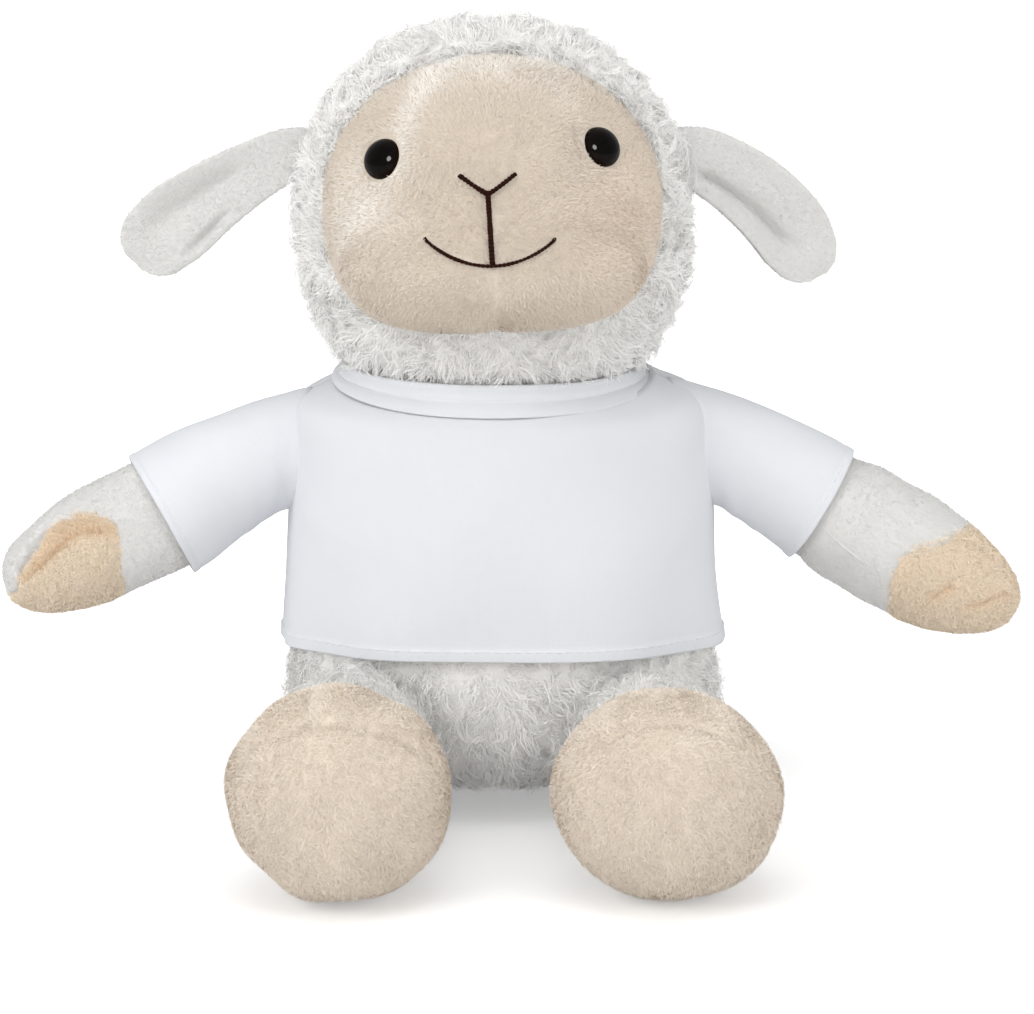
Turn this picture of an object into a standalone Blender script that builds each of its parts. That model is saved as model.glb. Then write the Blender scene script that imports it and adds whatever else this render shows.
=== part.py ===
"""Seated plush sheep in a T-shirt, as the sewn pieces and the filling that it is made of.

Metres, +Z up. The origin is on the floor under the middle of the seat, and the sheep looks
towards -Y. Left and right are those of someone who faces the sheep, so left is -X.
"""

import math

import bmesh
import bpy
import numpy as np
from mathutils import Matrix, Vector

# Cloth, seams and clearances
seam_gap = 0.0003           # between two pieces sewn or pressed together
lining_gap = 0.0006         # between a skin and the filling behind it
swivel_clearance = 0.0005   # round a limb's root in its seat
plush_thickness = 0.0018    # long and short pile with its backing
velour_thickness = 0.0014
jersey_thickness = 0.0010
rib_thickness = 0.0016      # doubled knit of the neckband
overrun = 0.006             # how far a cutter reaches past what it cuts

# Torso, standing on its seat
torso_height = 0.102
torso_half_width = 0.0523
torso_half_depth = 0.0440
torso_squareness = 2.2      # 2 is an ellipse in plan
# Share of the height, of the half-width and of the half-depth, and set-back as a share of depth
torso_shares = (
    (0.000, 0.680, 0.440, 0.250),
    (0.030, 0.850, 0.640, 0.225),
    (0.060, 0.920, 0.775, 0.160),
    (0.100, 0.965, 0.905, 0.075),
    (0.160, 0.993, 0.975, 0.025),
    (0.230, 1.000, 1.000, 0.000),
    (0.360, 0.995, 0.995, 0.000),
    (0.550, 0.970, 0.975, 0.000),
    (0.750, 0.945, 0.960, 0.000),
    (0.900, 0.920, 0.945, 0.000),
    (0.936, 0.895, 0.935, 0.000),
    (0.961, 0.835, 0.920, 0.000),
    (0.980, 0.765, 0.900, 0.000),
    (1.000, 0.690, 0.875, 0.000),
)
torso_row_shares = (0, 0.03, 0.07, 0.12, 0.2, 0.36, 0.55, 0.75, 0.88, 0.93, 0.965, 1.0)
torso_core_rows = (0, 2, 4, 5, 6, 7, 8, 10, 11)
shirt_row_share = 0.45      # the shirt's rows start above this share of the height
neck_lean_power = 6         # the neck leans under the head, mostly near its top
slope_step_share = 0.0025   # of the height, for reading the surface's slope
slope_turn = math.radians(1.8)

# Head, a ball below and behind, a little higher at the crown
head_radius = 0.0470
head_shift = 0.0022         # of its centre, to the left
head_above_neck = 0.0350    # its centre, above the torso's top
crown_rise = 0.0038
head_roll = math.radians(3.0)
neck_pad_thickness = 0.0016
neck_clearance = 0.0005
neck_pad_reach = math.radians(42)   # of the pad's rim, from straight down

# Face, an oval patch that swells into the muzzle
face_tilt = math.radians(25.7)      # of its middle, above the horizontal
face_half_span = math.radians(55.5)
face_half_rise = math.radians(43.0)
face_base = 0.0032
muzzle_swell = 0.0118
muzzle_low = math.radians(-23.0)    # muzzle's middle, from the face's middle
muzzle_span = math.radians(33.0)
muzzle_rise = math.radians(20.0)
bridge_swell = 0.0036
bridge_low = math.radians(-3.0)
bridge_span = math.radians(19.0)
bridge_rise = math.radians(24.0)
muzzle_side_power = 3.2     # the higher, the flatter the swell and the steeper its edge
muzzle_height_power = 2.4
bridge_side_power = 3.0
bridge_height_power = 2.0
rim_power = 4.0
rim_softness = 0.7
# Rings of facets, as shares of the way from the middle to the rim and from the rim to the back
face_ring_shares = (0.14, 0.28, 0.42, 0.56, 0.70, 0.82, 0.92, 1.0)
wool_ring_shares = (0.0, 0.12, 0.25, 0.38, 0.50, 0.62, 0.74, 0.85, 0.95)
gusset_tip = math.radians(-15.0)    # its point, at the nose
gusset_half_angle = math.radians(19.5)
# Share of the way from the point to the face's upper rim, share of the half-angle
gusset_shares = (
    (0.00, 0.06),
    (0.10, 0.36),
    (0.30, 0.86),
    (0.50, 1.00),
    (0.75, 0.84),
    (1.00, 0.64),
    (1.12, 0.58),
)

# Safety eyes
eye_aside = math.radians(28.3)
eye_up = math.radians(5.9)
eye_radius = 0.0046
eye_bulge = 0.0036
eye_rim = 0.0007
eye_dome_turns = np.radians([0, 18, 38, 58, 76])
eye_sink = 0.0011
shank_radius = 0.0015
shank_length = 0.0105
washer_radius = 0.0058
washer_thickness = 0.0010
washer_depth = 0.0034       # of its outer face, behind the cloth's surface

# Embroidered nose and mouth, in angles on the face
thread_radius = 0.00062
mouth_thread_radius = 0.00045
stitch_lift = 0.0004
nose_low = math.radians(-10.6)
nose_half_width = math.radians(5.8)
nose_rise = math.radians(4.2)
nose_power = 1.2            # a little over 1, so that the V is soft at its point
stem_low = math.radians(-24.6)
mouth_half_width = math.radians(14.1)
mouth_rise = math.radians(5.6)

# Ears
left_ear_length = 0.0490
right_ear_length = 0.0462
ear_half_width = 0.0098
ear_thickness = 0.0030
ear_root_radius = 0.0022
ear_seat = 0.0486           # of the seam that the ear turns on, from the head's centre
ear_elevation = math.radians(24.4)
ear_seam_tilt = math.radians(18.0)
ear_edge = 0.0005
ear_cup = 0.0024
# Share of the length, of the half-width and of the thickness
ear_shares = (
    (0.00, 0.74, 1.00),
    (0.20, 0.80, 0.80),
    (0.50, 0.93, 1.00),
    (0.72, 1.00, 0.95),
    (0.88, 0.84, 0.80),
    (0.97, 0.50, 0.55),
    (1.00, 0.22, 0.35),
)
ear_station_shares = (0.12, 0.26, 0.42, 0.58, 0.72, 0.84, 0.92, 0.97, 1.0)
ear_across_shares = (-1.0, -0.85, -0.5, 0.0, 0.5, 0.85, 1.0)
ear_root_turns = np.radians([14, 45, 90])
ear_round_share = 0.97      # how near to a sharp edge the layers are rounded
ear_bend_share = 0.2        # of the length, in which the ear leaves its seam's line
ear_cup_top_share = 0.9     # the cup is deepest before this share of the length
ear_cup_span_share = 1.1
ear_walk_steps = 24
# How far each ear hangs at its root and at its tip, and how far it is swept back
ear_droops = {-1: (math.radians(23), math.radians(43)), 1: (math.radians(24), math.radians(58))}
ear_sweep = {-1: math.radians(4), 1: math.radians(17)}

# Arms
shoulder_out = 0.0580
shoulder_below_neck = 0.0185    # its centre, below the torso's top
shoulder_radius = 0.0136    # over the sleeve
left_arm_length = 0.0732
right_arm_length = 0.0785
arm_droops = {-1: math.radians(27.2), 1: math.radians(30.3)}
arm_swings = {-1: math.radians(14.0), 1: math.radians(3.0)}
arm_mouth = math.radians(24)    # of the opening at the root, from the arm's axis
arm_flatness_share = 0.88
# Share of the length, share of the shoulder's radius under the sleeve
arm_shares = (
    (0.00, 1.000),
    (0.05, 0.965),
    (0.16, 1.015),
    (0.40, 1.130),
    (0.65, 1.120),
    (0.80, 1.010),
    (0.90, 0.820),
    (0.96, 0.560),
    (0.99, 0.280),
)
arm_station_shares = (0.05, 0.16, 0.28, 0.4, 0.55, 0.7, 0.82, 0.91, 0.965)
pad_start_share = 0.57      # of the arm's length
pad_top = 0.0062            # above the arm's axis
pad_behind = 0.0020         # how far the pad reaches behind the arm's axis
cuff_flare = 0.0009
cuff_flare_shares = (0.0, 0.3, 0.8, 0.85, 1.0)
left_sleeve_length = 0.0302
right_sleeve_length = 0.0252

# T-shirt
shirt_ease = 0.0005         # between the torso's skin and the shirt
shirt_below_neck = 0.0028   # where the neckband starts, below the torso's top
hem_height = 0.0365         # at the sides
hem_tilt_share = 0.125      # rise towards the front for each unit of depth
hem_fold = 0.0032
hem_extra = 0.0005          # the fold's added thickness
hem_flare = 0.0009
collar_height = 0.0048
collar_front_rise = 0.0018  # the band stands higher under the chin
collar_draw_in = 0.0007

# Legs and feet
hip_out = 0.0338
hip_forward = 0.0478
hip_height = 0.0220
hip_radius = 0.0165
leg_mouth = math.radians(26)    # of the opening at the root, from the leg's axis
left_foot_out = 0.0358
right_foot_out = 0.0366
foot_forward = 0.0910
foot_height = 0.0233
foot_half_width = 0.0248
foot_half_depth = 0.0240
foot_half_rise = 0.0238
sole_tilt = math.radians(22.0)      # how far the sole looks down
sole_reach = math.radians(74.0)     # of its seam, from the sole's middle
sole_rings = 4
upper_rings = 6
leg_stop_share = 0.685              # how far from the foot's middle, of the foot's half-depth
# Share of the way there, share of the hip's radius
leg_shares = (
    (0.00, 1.000),
    (0.50, 1.020),
    (1.00, 1.000),
)
leg_station_shares = (0.1, 0.5, 1.0)

# Tail
tail_back = 0.0474
tail_height = 0.0200
tail_radius = 0.0062        # at its root
tail_length = 0.0170
tail_droop = math.radians(25)
tail_mouth = math.radians(29)
tail_shares = (
    (0.00, 1.00),
    (0.30, 1.22),
    (0.60, 1.32),
    (0.85, 1.00),
    (0.96, 0.52),
)
tail_station_shares = (0.3, 0.6, 0.85, 0.96)

# Counts of facets
torso_columns = 26
head_columns = 26
neck_rings = 4
neck_cup_columns = 32
arm_columns = 14
foot_columns = 18
leg_columns = 14
ball_columns = 20
tail_columns = 10
small_columns = 12

# Colours and finishes
colours = {
    "wool": ((0.80, 0.80, 0.79), 0.95),
    "beige_plush": ((0.72, 0.60, 0.45), 0.92),
    "velour": ((0.83, 0.82, 0.80), 0.85),
    "jersey": ((0.86, 0.88, 0.91), 0.88),
    "eye_black": ((0.010, 0.008, 0.008), 0.08),
    "washer_white": ((0.75, 0.75, 0.73), 0.45),
    "dark_thread": ((0.060, 0.022, 0.015), 0.60),
    "filling": ((0.88, 0.88, 0.86), 0.98),
}

# Worked out from the sizes above
head_centre = np.array((-head_shift, 0.0, torso_height + head_above_neck))
shirt_top = torso_height - shirt_below_neck
ear_lengths = {-1: left_ear_length, 1: right_ear_length}
arm_lengths = {-1: left_arm_length, 1: right_arm_length}
sleeve_lengths = {-1: left_sleeve_length, 1: right_sleeve_length}
foot_outs = {-1: left_foot_out, 1: right_foot_out}


# Small helpers

def full_turn(columns):
    return np.arange(columns) * (math.tau / columns)


def unit(vector):
    vector = np.asarray(vector, float)
    return vector / np.linalg.norm(vector)


def soft_curve(shares, where, column):
    """Smooth curve through a table's rows that never overshoots them, read at the values in where."""
    table = np.array(shares)
    x = table[:, 0]
    y = table[:, column]
    steps = np.diff(x)
    slopes = np.diff(y) / steps
    tangents = np.zeros(len(x))
    for i in range(1, len(x) - 1):
        if slopes[i - 1] * slopes[i] > 0:
            tangents[i] = 2 / (1 / slopes[i - 1] + 1 / slopes[i])
    tangents[0] = slopes[0]
    tangents[-1] = slopes[-1]
    where = np.clip(where, x[0], x[-1])
    i = np.clip(np.searchsorted(x, where, side="right") - 1, 0, len(x) - 2)
    t = (where - x[i]) / steps[i]
    return (
        y[i] * (1 + 2 * t) * (1 - t) ** 2
        + y[i + 1] * t * t * (3 - 2 * t)
        + steps[i] * t * (1 - t) * (tangents[i] * (1 - t) - tangents[i + 1] * t)
    )


def moved_in(grid, distance):
    """Rings of points moved along the surface's normal by distance, inwards where it is positive."""
    around = np.roll(grid, -1, axis=1) - np.roll(grid, 1, axis=1)
    along = np.gradient(grid, axis=0, edge_order=2)
    normals = np.cross(around, along)
    normals /= np.linalg.norm(normals, axis=2, keepdims=True)
    outward = grid - grid.mean(axis=1, keepdims=True)
    if (normals * outward).sum() < 0:
        normals = -normals
    return grid - np.asarray(distance) * normals


def finish(name):
    """The material of that name, made once."""
    found = bpy.data.materials.get(name)
    if found:
        return found
    colour, roughness = colours[name]
    made = bpy.data.materials.new(name)
    made.use_nodes = True
    shader = made.node_tree.nodes["Principled BSDF"]
    shader.inputs["Base Color"].default_value = (*colour, 1.0)
    shader.inputs["Roughness"].default_value = roughness
    shader.inputs["Metallic"].default_value = 0.0
    return made


def add_object(name, bm, pivot):
    """Object with its origin at pivot, made from a bmesh in world places."""
    bm.normal_update()
    bmesh.ops.recalc_face_normals(bm, faces=bm.faces)
    bmesh.ops.translate(bm, verts=bm.verts, vec=-Vector(pivot))
    mesh = bpy.data.meshes.new(name)
    bm.to_mesh(mesh)
    bm.free()
    made = bpy.data.objects.new(name, mesh)
    made.location = pivot
    bpy.context.scene.collection.objects.link(made)
    return made


def add_piece(name, bm, material, pivot=(0, 0, 0), sharp=40):
    made = add_object(name, bm, pivot)
    made.data.materials.append(finish(material))
    made.data.shade_smooth()
    made.data.set_sharp_from_angle(angle=math.radians(sharp))
    return made


def add_cutter(name, bm, pivot=(0, 0, 0)):
    made = add_object(name, bm, pivot)
    made.hide_render = True
    made.display_type = "WIRE"
    return made


def combine(piece, other, operation):
    modifier = piece.modifiers.new(other.name, "BOOLEAN")
    modifier.operation = operation
    modifier.solver = "EXACT"
    modifier.object = other


def ring_mesh(rings, start=None, end=None, looped=False):
    """Skin through rings of equal counts. start and end are pole points, or None for a flat cap."""
    bm = bmesh.new()
    loops = [[bm.verts.new(point) for point in ring] for ring in rings]
    pairs = list(zip(loops, loops[1:]))
    if looped:
        pairs.append((loops[-1], loops[0]))
    for near, far in pairs:
        for i in range(len(near)):
            j = (i + 1) % len(near)
            bm.faces.new((near[i], near[j], far[j], far[i]))
    if looped:
        return bm
    for loop, pole in ((loops[0], start), (loops[-1], end)):
        if pole is None:
            bm.faces.new(loop)
            continue
        tip = bm.verts.new(pole)
        for i in range(len(loop)):
            bm.faces.new((loop[i], loop[(i + 1) % len(loop)], tip))
    return bm


def shell_mesh(outer, inner, outer_pole=None, inner_pole=None):
    """Wall between two grids that start at the pole, if there is one, and end at a mouth."""
    if outer_pole is None:
        return ring_mesh([*outer, *inner[::-1]], looped=True)
    return ring_mesh([*outer, *inner[::-1]], start=outer_pole, end=inner_pole)


def ball_mesh(centre, radius, columns=ball_columns):
    """Ball whose facets touch the true radius, so that what turns in its cut never meets them."""
    bm = bmesh.new()
    place = Matrix.Translation(Vector(centre))
    outer = radius / math.cos(math.pi / columns) ** 2
    bmesh.ops.create_uvsphere(
        bm, u_segments=columns, v_segments=columns // 2, radius=outer, matrix=place
    )
    return bm


def rod_mesh(start, end, radius, columns=small_columns):
    """Plain round rod from start to end."""
    start = Vector(start)
    end = Vector(end)
    turn = (end - start).to_track_quat("Z", "Y").to_matrix().to_4x4()
    bm = bmesh.new()
    bmesh.ops.create_cone(
        bm,
        cap_ends=True,
        segments=columns,
        radius1=radius,
        radius2=radius,
        depth=(end - start).length,
        matrix=Matrix.Translation((start + end) / 2) @ turn,
    )
    return bm


def block_mesh(centre, axes, low, high):
    """Box given by its corners along three axes from a centre."""
    bm = bmesh.new()
    bmesh.ops.create_cube(bm, size=1)
    low = np.array(low)
    high = np.array(high)
    for vert in bm.verts:
        share = np.array(vert.co) + 0.5
        vert.co = Vector(centre + (low + (high - low) * share) @ np.array(axes))
    return bm


# Torso, its filling and the T-shirt's body

def torso_points(heights, angles):
    """Torso's surface: a squared ellipse at each height, leaning aside near the neck."""
    share = heights / torso_height
    width = torso_half_width * soft_curve(torso_shares, share, 1)
    depth = torso_half_depth * soft_curve(torso_shares, share, 2)
    across = np.sign(np.cos(angles)) * np.abs(np.cos(angles)) ** (2 / torso_squareness)
    along = np.sign(np.sin(angles)) * np.abs(np.sin(angles)) ** (2 / torso_squareness)
    lean = -head_shift * np.clip(share, 0, 1) ** neck_lean_power
    back = torso_half_depth * soft_curve(torso_shares, share, 3)
    return np.stack([lean + width * across, back + depth * along, heights + 0 * angles], axis=-1)


def torso_layer(heights, angles, distance):
    """Torso's surface moved out along its normal by distance."""
    step = torso_height * slope_step_share
    top = torso_points(np.minimum(heights + step, torso_height), angles)
    along = top - torso_points(np.maximum(heights - step, 0), angles)
    ahead = torso_points(heights, angles + slope_turn)
    around = ahead - torso_points(heights, angles - slope_turn)
    normals = np.cross(around, along)
    normals /= np.linalg.norm(normals, axis=-1, keepdims=True)
    return torso_points(heights, angles) + normals * np.asarray(distance)


def make_torso(cutters):
    rows = np.array(torso_row_shares) * torso_height
    heights, angles = np.meshgrid(rows, full_turn(torso_columns), indexing="ij")
    outer = torso_points(heights, angles)
    inner = torso_layer(heights, angles, -plush_thickness)
    core = torso_layer(heights, angles, -plush_thickness - lining_gap)
    skin = add_piece("torso_skin", ring_mesh([*outer, *inner[::-1]]), "wool")
    filling = add_piece("torso_stuffing", ring_mesh(core[list(torso_core_rows)]), "filling")
    for piece in (skin, filling):
        for cutter in cutters:
            combine(piece, cutter, "DIFFERENCE")


def make_shirt_half(name, side, cutters):
    """Front (side -1) or back (side 1) panel, from the hem to the neckband, with a doubled hem."""
    arc = np.linspace(0, math.pi, torso_columns // 2 + 1) * side
    hem_rows = hem_height + np.array([0.0, hem_fold, hem_fold + seam_gap])
    body_rows = np.array([s for s in torso_row_shares if s > shirt_row_share]) * torso_height
    rows = np.concatenate([hem_rows, body_rows[body_rows < shirt_top], [shirt_top]])
    heights, angles = np.meshgrid(rows, arc, indexing="ij")
    flat = torso_points(heights, angles)
    settle = np.clip((shirt_top - heights) / (shirt_top - hem_height), 0, 1) ** 2
    heights = heights - hem_tilt_share * flat[..., 1] * settle
    flare = shirt_ease + hem_flare * settle[..., None]
    extra = np.zeros((len(rows), 1, 1))
    extra[:2] = hem_extra
    inner = torso_layer(heights, angles, flare)
    outer = torso_layer(heights, angles, flare + jersey_thickness + extra)
    for points in (inner, outer):
        points[..., 1] = side * np.maximum(side * points[..., 1], seam_gap / 2)
    rings = [np.concatenate([o, i[::-1]]) for o, i in zip(outer, inner)]
    panel = add_piece(name, open_band_mesh(rings), "jersey")
    for cutter in cutters:
        combine(panel, cutter, "DIFFERENCE")


def open_band_mesh(rings):
    """Loft of C-shaped rings, outer arc then inner arc, with strip caps at both ends."""
    bm = bmesh.new()
    loops = [[bm.verts.new(point) for point in ring] for ring in rings]
    for near, far in zip(loops, loops[1:]):
        for i in range(len(near)):
            j = (i + 1) % len(near)
            bm.faces.new((near[i], near[j], far[j], far[i]))
    for loop in (loops[0], loops[-1]):
        last = len(loop) - 1
        for i in range(len(loop) // 2 - 1):
            bm.faces.new((loop[i], loop[i + 1], loop[last - i - 1], loop[last - i]))
    return bm


def make_collar():
    """Ribbed neckband: it lies on the torso's slope and stands up round the neck."""
    start = shirt_top + seam_gap
    slope = np.linspace(start, torso_height, 3)
    heights, angles = np.meshgrid(slope, full_turn(torso_columns), indexing="ij")
    inner = torso_layer(heights, angles, shirt_ease)
    outer = torso_layer(heights, angles, shirt_ease + rib_thickness)
    ahead = np.clip(-np.sin(angles[-1:]), 0, 1)
    lift = start + collar_height - torso_height + collar_front_rise * ahead
    rise = np.stack([0 * lift, 0 * lift, lift], axis=-1)
    draw = np.array((collar_draw_in, collar_draw_in, 0.0)) / torso_half_depth
    inner = np.concatenate([inner, inner[-1:] * (1 - draw) + rise])
    outer = np.concatenate([outer, outer[-1:] * (1 - draw) + rise])
    add_piece("collar_band", shell_mesh(outer, inner), "jersey")


# Head, face and what is set in them

def face_axes():
    ahead = np.array((0.0, -math.cos(face_tilt), math.sin(face_tilt)))
    up = np.array((0.0, math.sin(face_tilt), math.cos(face_tilt)))
    across = np.array((1.0, 0.0, 0.0))
    rolled = across * math.cos(head_roll) + up * math.sin(head_roll)
    return ahead, rolled, up * math.cos(head_roll) - across * math.sin(head_roll)


def face_direction(aside, above):
    """Direction that lies at two angles from the face's middle, as on a map."""
    ahead, across, up = face_axes()
    turn = np.hypot(aside, above)
    scale = np.sinc(turn / math.pi)[..., None]
    return (
        np.cos(turn)[..., None] * ahead
        + scale * (aside[..., None] * across + above[..., None] * up)
    )


def hump(angle, middle, span, power):
    """1 at the middle, falling off past the span, the more steeply the higher the power."""
    return np.exp(-np.abs((angle - middle) / span) ** power)


def head_distance(aside, above):
    """Distance from the head's centre to its surface, in the direction of two face angles."""
    direction = face_direction(aside, above)
    elevation = np.clip(direction[..., 2], 0, 1)
    ball = head_radius + crown_rise * elevation**2
    oval = np.hypot(aside / face_half_span, above / face_half_rise)
    edge = np.clip(1 - oval**rim_power, 0, 1) ** rim_softness
    muzzle = hump(aside, 0.0, muzzle_span, muzzle_side_power)
    muzzle = muzzle * hump(above, muzzle_low, muzzle_rise, muzzle_height_power)
    bridge = hump(aside, 0.0, bridge_span, bridge_side_power)
    bridge = bridge * hump(above, bridge_low, bridge_rise, bridge_height_power)
    return ball + edge * (face_base + muzzle_swell * muzzle + bridge_swell * bridge)


def head_points(aside, above, lift=0.0):
    aside = np.asarray(aside, float)
    above = np.asarray(above, float)
    distance = head_distance(aside, above)[..., None] + lift
    return head_centre + distance * face_direction(aside, above)


def face_rim(bearing):
    return 1 / np.hypot(np.cos(bearing) / face_half_span, np.sin(bearing) / face_half_rise)


def head_grid(start_shares, first, last):
    """Rings from turn angle first to last, each a function of the bearing round the face's middle."""
    bearing = full_turn(head_columns)
    share = np.asarray(start_shares)[:, None]
    turn = first(bearing) * (1 - share) + last(bearing) * share
    return head_points(turn * np.cos(bearing), turn * np.sin(bearing))


def face_rings():
    half_gap = seam_gap / head_radius / 2
    return head_grid(
        face_ring_shares,
        lambda bearing: 0 * bearing,
        lambda bearing: face_rim(bearing) - half_gap,
    )


def wool_rings():
    half_gap = seam_gap / head_radius / 2
    return head_grid(
        wool_ring_shares,
        lambda bearing: face_rim(bearing) + half_gap,
        lambda bearing: math.pi + 0 * bearing,
    )


def wedge_mesh(outline, near, far):
    """Cutter that fans out from the head's centre through an outline of face angles."""
    aside, above = np.array(outline).T
    direction = face_direction(aside, above)
    return ring_mesh([head_centre + near * direction, head_centre + far * direction])


def gusset_outline(ease):
    """Leaf from the nose to past the upper rim, made wider by ease, an angle."""
    share = np.linspace(0, gusset_shares[-1][0], 9)
    above = gusset_tip - ease + share * (face_half_rise - gusset_tip)
    half = gusset_half_angle * soft_curve(gusset_shares, share, 1) + ease
    right = list(zip(half, above))
    left = [(-a, b) for a, b in right[::-1]]
    return right + left


def eye_axis(side):
    aside = np.array(side * eye_aside)
    above = np.array(eye_up)
    return head_points(aside, above), unit(face_direction(aside, above))


def turned_mesh(base, axis, profile, looped=False, columns=small_columns):
    """Body turned about an axis: profile rows are radius and height above base."""
    turn = Vector(axis).to_track_quat("Z", "Y").to_matrix()
    across = np.array(turn @ Vector((1, 0, 0)))
    up = np.array(turn @ Vector((0, 1, 0)))
    angles = full_turn(columns)[:, None]
    rings = [
        base + radius * (np.cos(angles) * across + np.sin(angles) * up) + height * axis
        for radius, height in profile
        if radius > 0
    ]
    if looped:
        return ring_mesh(rings, looped=True)
    poles = [base + height * axis for radius, height in profile if radius == 0]
    return ring_mesh(rings, start=poles[0], end=poles[-1])


def make_eyes():
    """Two domed safety eyes with shanks through the cloth, and the washers that hold them."""
    cutters = {}
    for side, word in ((-1, "left"), (1, "right")):
        surface, axis = eye_axis(side)
        base = surface - eye_sink * axis
        dome = [
            (eye_radius * math.cos(a), eye_rim + eye_bulge * math.sin(a))
            for a in eye_dome_turns
        ]
        profile = [(0, -shank_length), (shank_radius, -shank_length), (shank_radius, 0.0)]
        profile += [(eye_radius, 0.0), *dome, (0, eye_rim + eye_bulge)]
        eye = turned_mesh(base, axis, profile)
        add_piece(f"{word}_eye", eye, "eye_black", head_centre)
        face = surface - washer_depth * axis
        hole = shank_radius + seam_gap
        ring = [
            (hole, 0.0),
            (washer_radius, 0.0),
            (washer_radius, -washer_thickness),
            (hole, -washer_thickness),
        ]
        washer = turned_mesh(face, axis, ring, looped=True)
        add_piece(f"{word}_eye_washer", washer, "washer_white", head_centre)
        seat = [
            (0, -washer_depth),
            (hole, -washer_depth),
            (hole, -seam_gap),
            (eye_radius + seam_gap, -seam_gap),
            (eye_radius + seam_gap, overrun),
            (0, overrun),
        ]
        cutters[side] = add_cutter(f"{word}_eye_seat_cutter", turned_mesh(base, axis, seat))
        pocket = rod_mesh(
            base + axis * overrun,
            base - axis * (shank_length + seam_gap),
            washer_radius + seam_gap,
        )
        cutters[word] = add_cutter(f"{word}_washer_pocket_cutter", pocket)
    return cutters


def add_stitch(name, path, radius):
    """Thread along points that lie on the face, as a filled tube."""
    curve = bpy.data.curves.new(name, "CURVE")
    curve.dimensions = "3D"
    curve.bevel_depth = radius
    curve.bevel_resolution = 1
    curve.use_fill_caps = True
    spline = curve.splines.new("POLY")
    spline.points.add(len(path) - 1)
    for point, place in zip(spline.points, path):
        point.co = (*(place - head_centre), 1)
    curve.materials.append(finish("dark_thread"))
    made = bpy.data.objects.new(name, curve)
    made.location = head_centre
    bpy.context.scene.collection.objects.link(made)


def make_stitches():
    """Nose, a V; the line down from it; and the smile."""
    lift = thread_radius + stitch_lift
    share = np.linspace(-1, 1, 9)
    rise = nose_rise * np.abs(share) ** nose_power
    nose = head_points(nose_half_width * share, nose_low + rise, lift)
    add_stitch("nose_stitch", nose, thread_radius)
    clear = (2 * thread_radius + seam_gap) / (head_radius + muzzle_swell)
    above = np.linspace(nose_low - clear, stem_low + clear, 5)
    add_stitch("philtrum_stitch", head_points(0 * above, above, lift), thread_radius)
    lift = mouth_thread_radius + stitch_lift
    share = np.linspace(-1, 1, 13)
    mouth = head_points(mouth_half_width * share, stem_low + mouth_rise * share**2, lift)
    add_stitch("mouth_stitch", mouth, mouth_thread_radius)


def make_head(ear_cutters):
    ahead, across, up = face_axes()
    eyes = make_eyes()
    outer = face_rings()
    inner = moved_in(outer, plush_thickness)
    middle = head_points(0.0, 0.0)
    tips = (middle, middle - plush_thickness * ahead)
    ease = seam_gap / head_radius / 2
    near = head_radius / 2
    far = 2 * head_radius
    gusset = add_cutter("gusset_cutter", wedge_mesh(gusset_outline(-ease), near, far))
    opening = add_cutter("gusset_opening_cutter", wedge_mesh(gusset_outline(ease), near, far))
    panel = add_piece("face_gusset", shell_mesh(outer, inner, *tips), "beige_plush", head_centre)
    combine(panel, gusset, "INTERSECT")
    for side, word in ((-1, "left"), (1, "right")):
        cheek = add_piece(
            f"{word}_cheek", shell_mesh(outer, inner, *tips), "beige_plush", head_centre
        )
        half = block_mesh(
            head_centre,
            (side * across, ahead, up),
            (-far, -far, -far),
            (seam_gap / 2, far, far),
        )
        combine(cheek, add_cutter(f"{word}_cheek_cutter", half), "DIFFERENCE")
        combine(cheek, opening, "DIFFERENCE")
        combine(cheek, eyes[side], "DIFFERENCE")
    wool = wool_rings()
    back = head_centre - ahead * head_distance(np.array(math.pi), np.array(0.0))
    lining = moved_in(wool, plush_thickness)
    skin = add_piece(
        "head_wool",
        shell_mesh(wool[::-1], lining[::-1], back, back + plush_thickness * ahead),
        "wool",
        head_centre,
    )
    for cutter in ear_cutters:
        combine(skin, cutter, "DIFFERENCE")
    depth = plush_thickness + lining_gap
    core = np.concatenate([moved_in(outer, depth)[1:-1:2], moved_in(wool, depth)[::2]])
    filling = add_piece(
        "head_stuffing",
        ring_mesh(core, start=middle - depth * ahead, end=back + depth * ahead),
        "filling",
        head_centre,
    )
    for word in ("left", "right"):
        combine(filling, eyes[word], "DIFFERENCE")
    make_stitches()


def make_neck():
    """Bowl of filling under the head, that the head turns and nods in."""
    inner = head_radius + neck_clearance
    outer = inner + neck_pad_thickness
    turns = np.linspace(0, neck_pad_reach, neck_rings + 1)[1:]
    angles = full_turn(head_columns)

    def bowl(radius):
        return np.stack(
            [
                np.stack(
                    [
                        radius * math.sin(t) * np.cos(angles),
                        radius * math.sin(t) * np.sin(angles),
                        -radius * math.cos(t) + 0 * angles,
                    ],
                    axis=-1,
                )
                for t in turns
            ]
        ) + head_centre

    down = np.array((0, 0, -1.0))
    bm = shell_mesh(bowl(outer), bowl(inner), head_centre + outer * down, head_centre + inner * down)
    add_piece("neck_stuffing", bm, "filling", head_centre)


# Ears

def ear_frame(side):
    """Root of the ear, the seam that it turns on, its outward and its forward direction."""
    radial = np.array((side * math.cos(ear_elevation), 0.0, math.sin(ear_elevation)))
    root = head_centre + ear_seat * radial
    seam = np.array((-side * math.sin(ear_seam_tilt), 0.0, math.cos(ear_seam_tilt)))
    sweep = ear_sweep[side]
    flat_out = np.array((side * math.cos(ear_seam_tilt), 0.0, math.sin(ear_seam_tilt)))
    back = np.array((0.0, 1.0, 0.0))
    out = flat_out * math.cos(sweep) + back * math.sin(sweep)
    ahead = unit(np.cross(seam, out))
    if ahead[1] > 0:
        ahead = -ahead
    return root, seam, out, ahead


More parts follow.
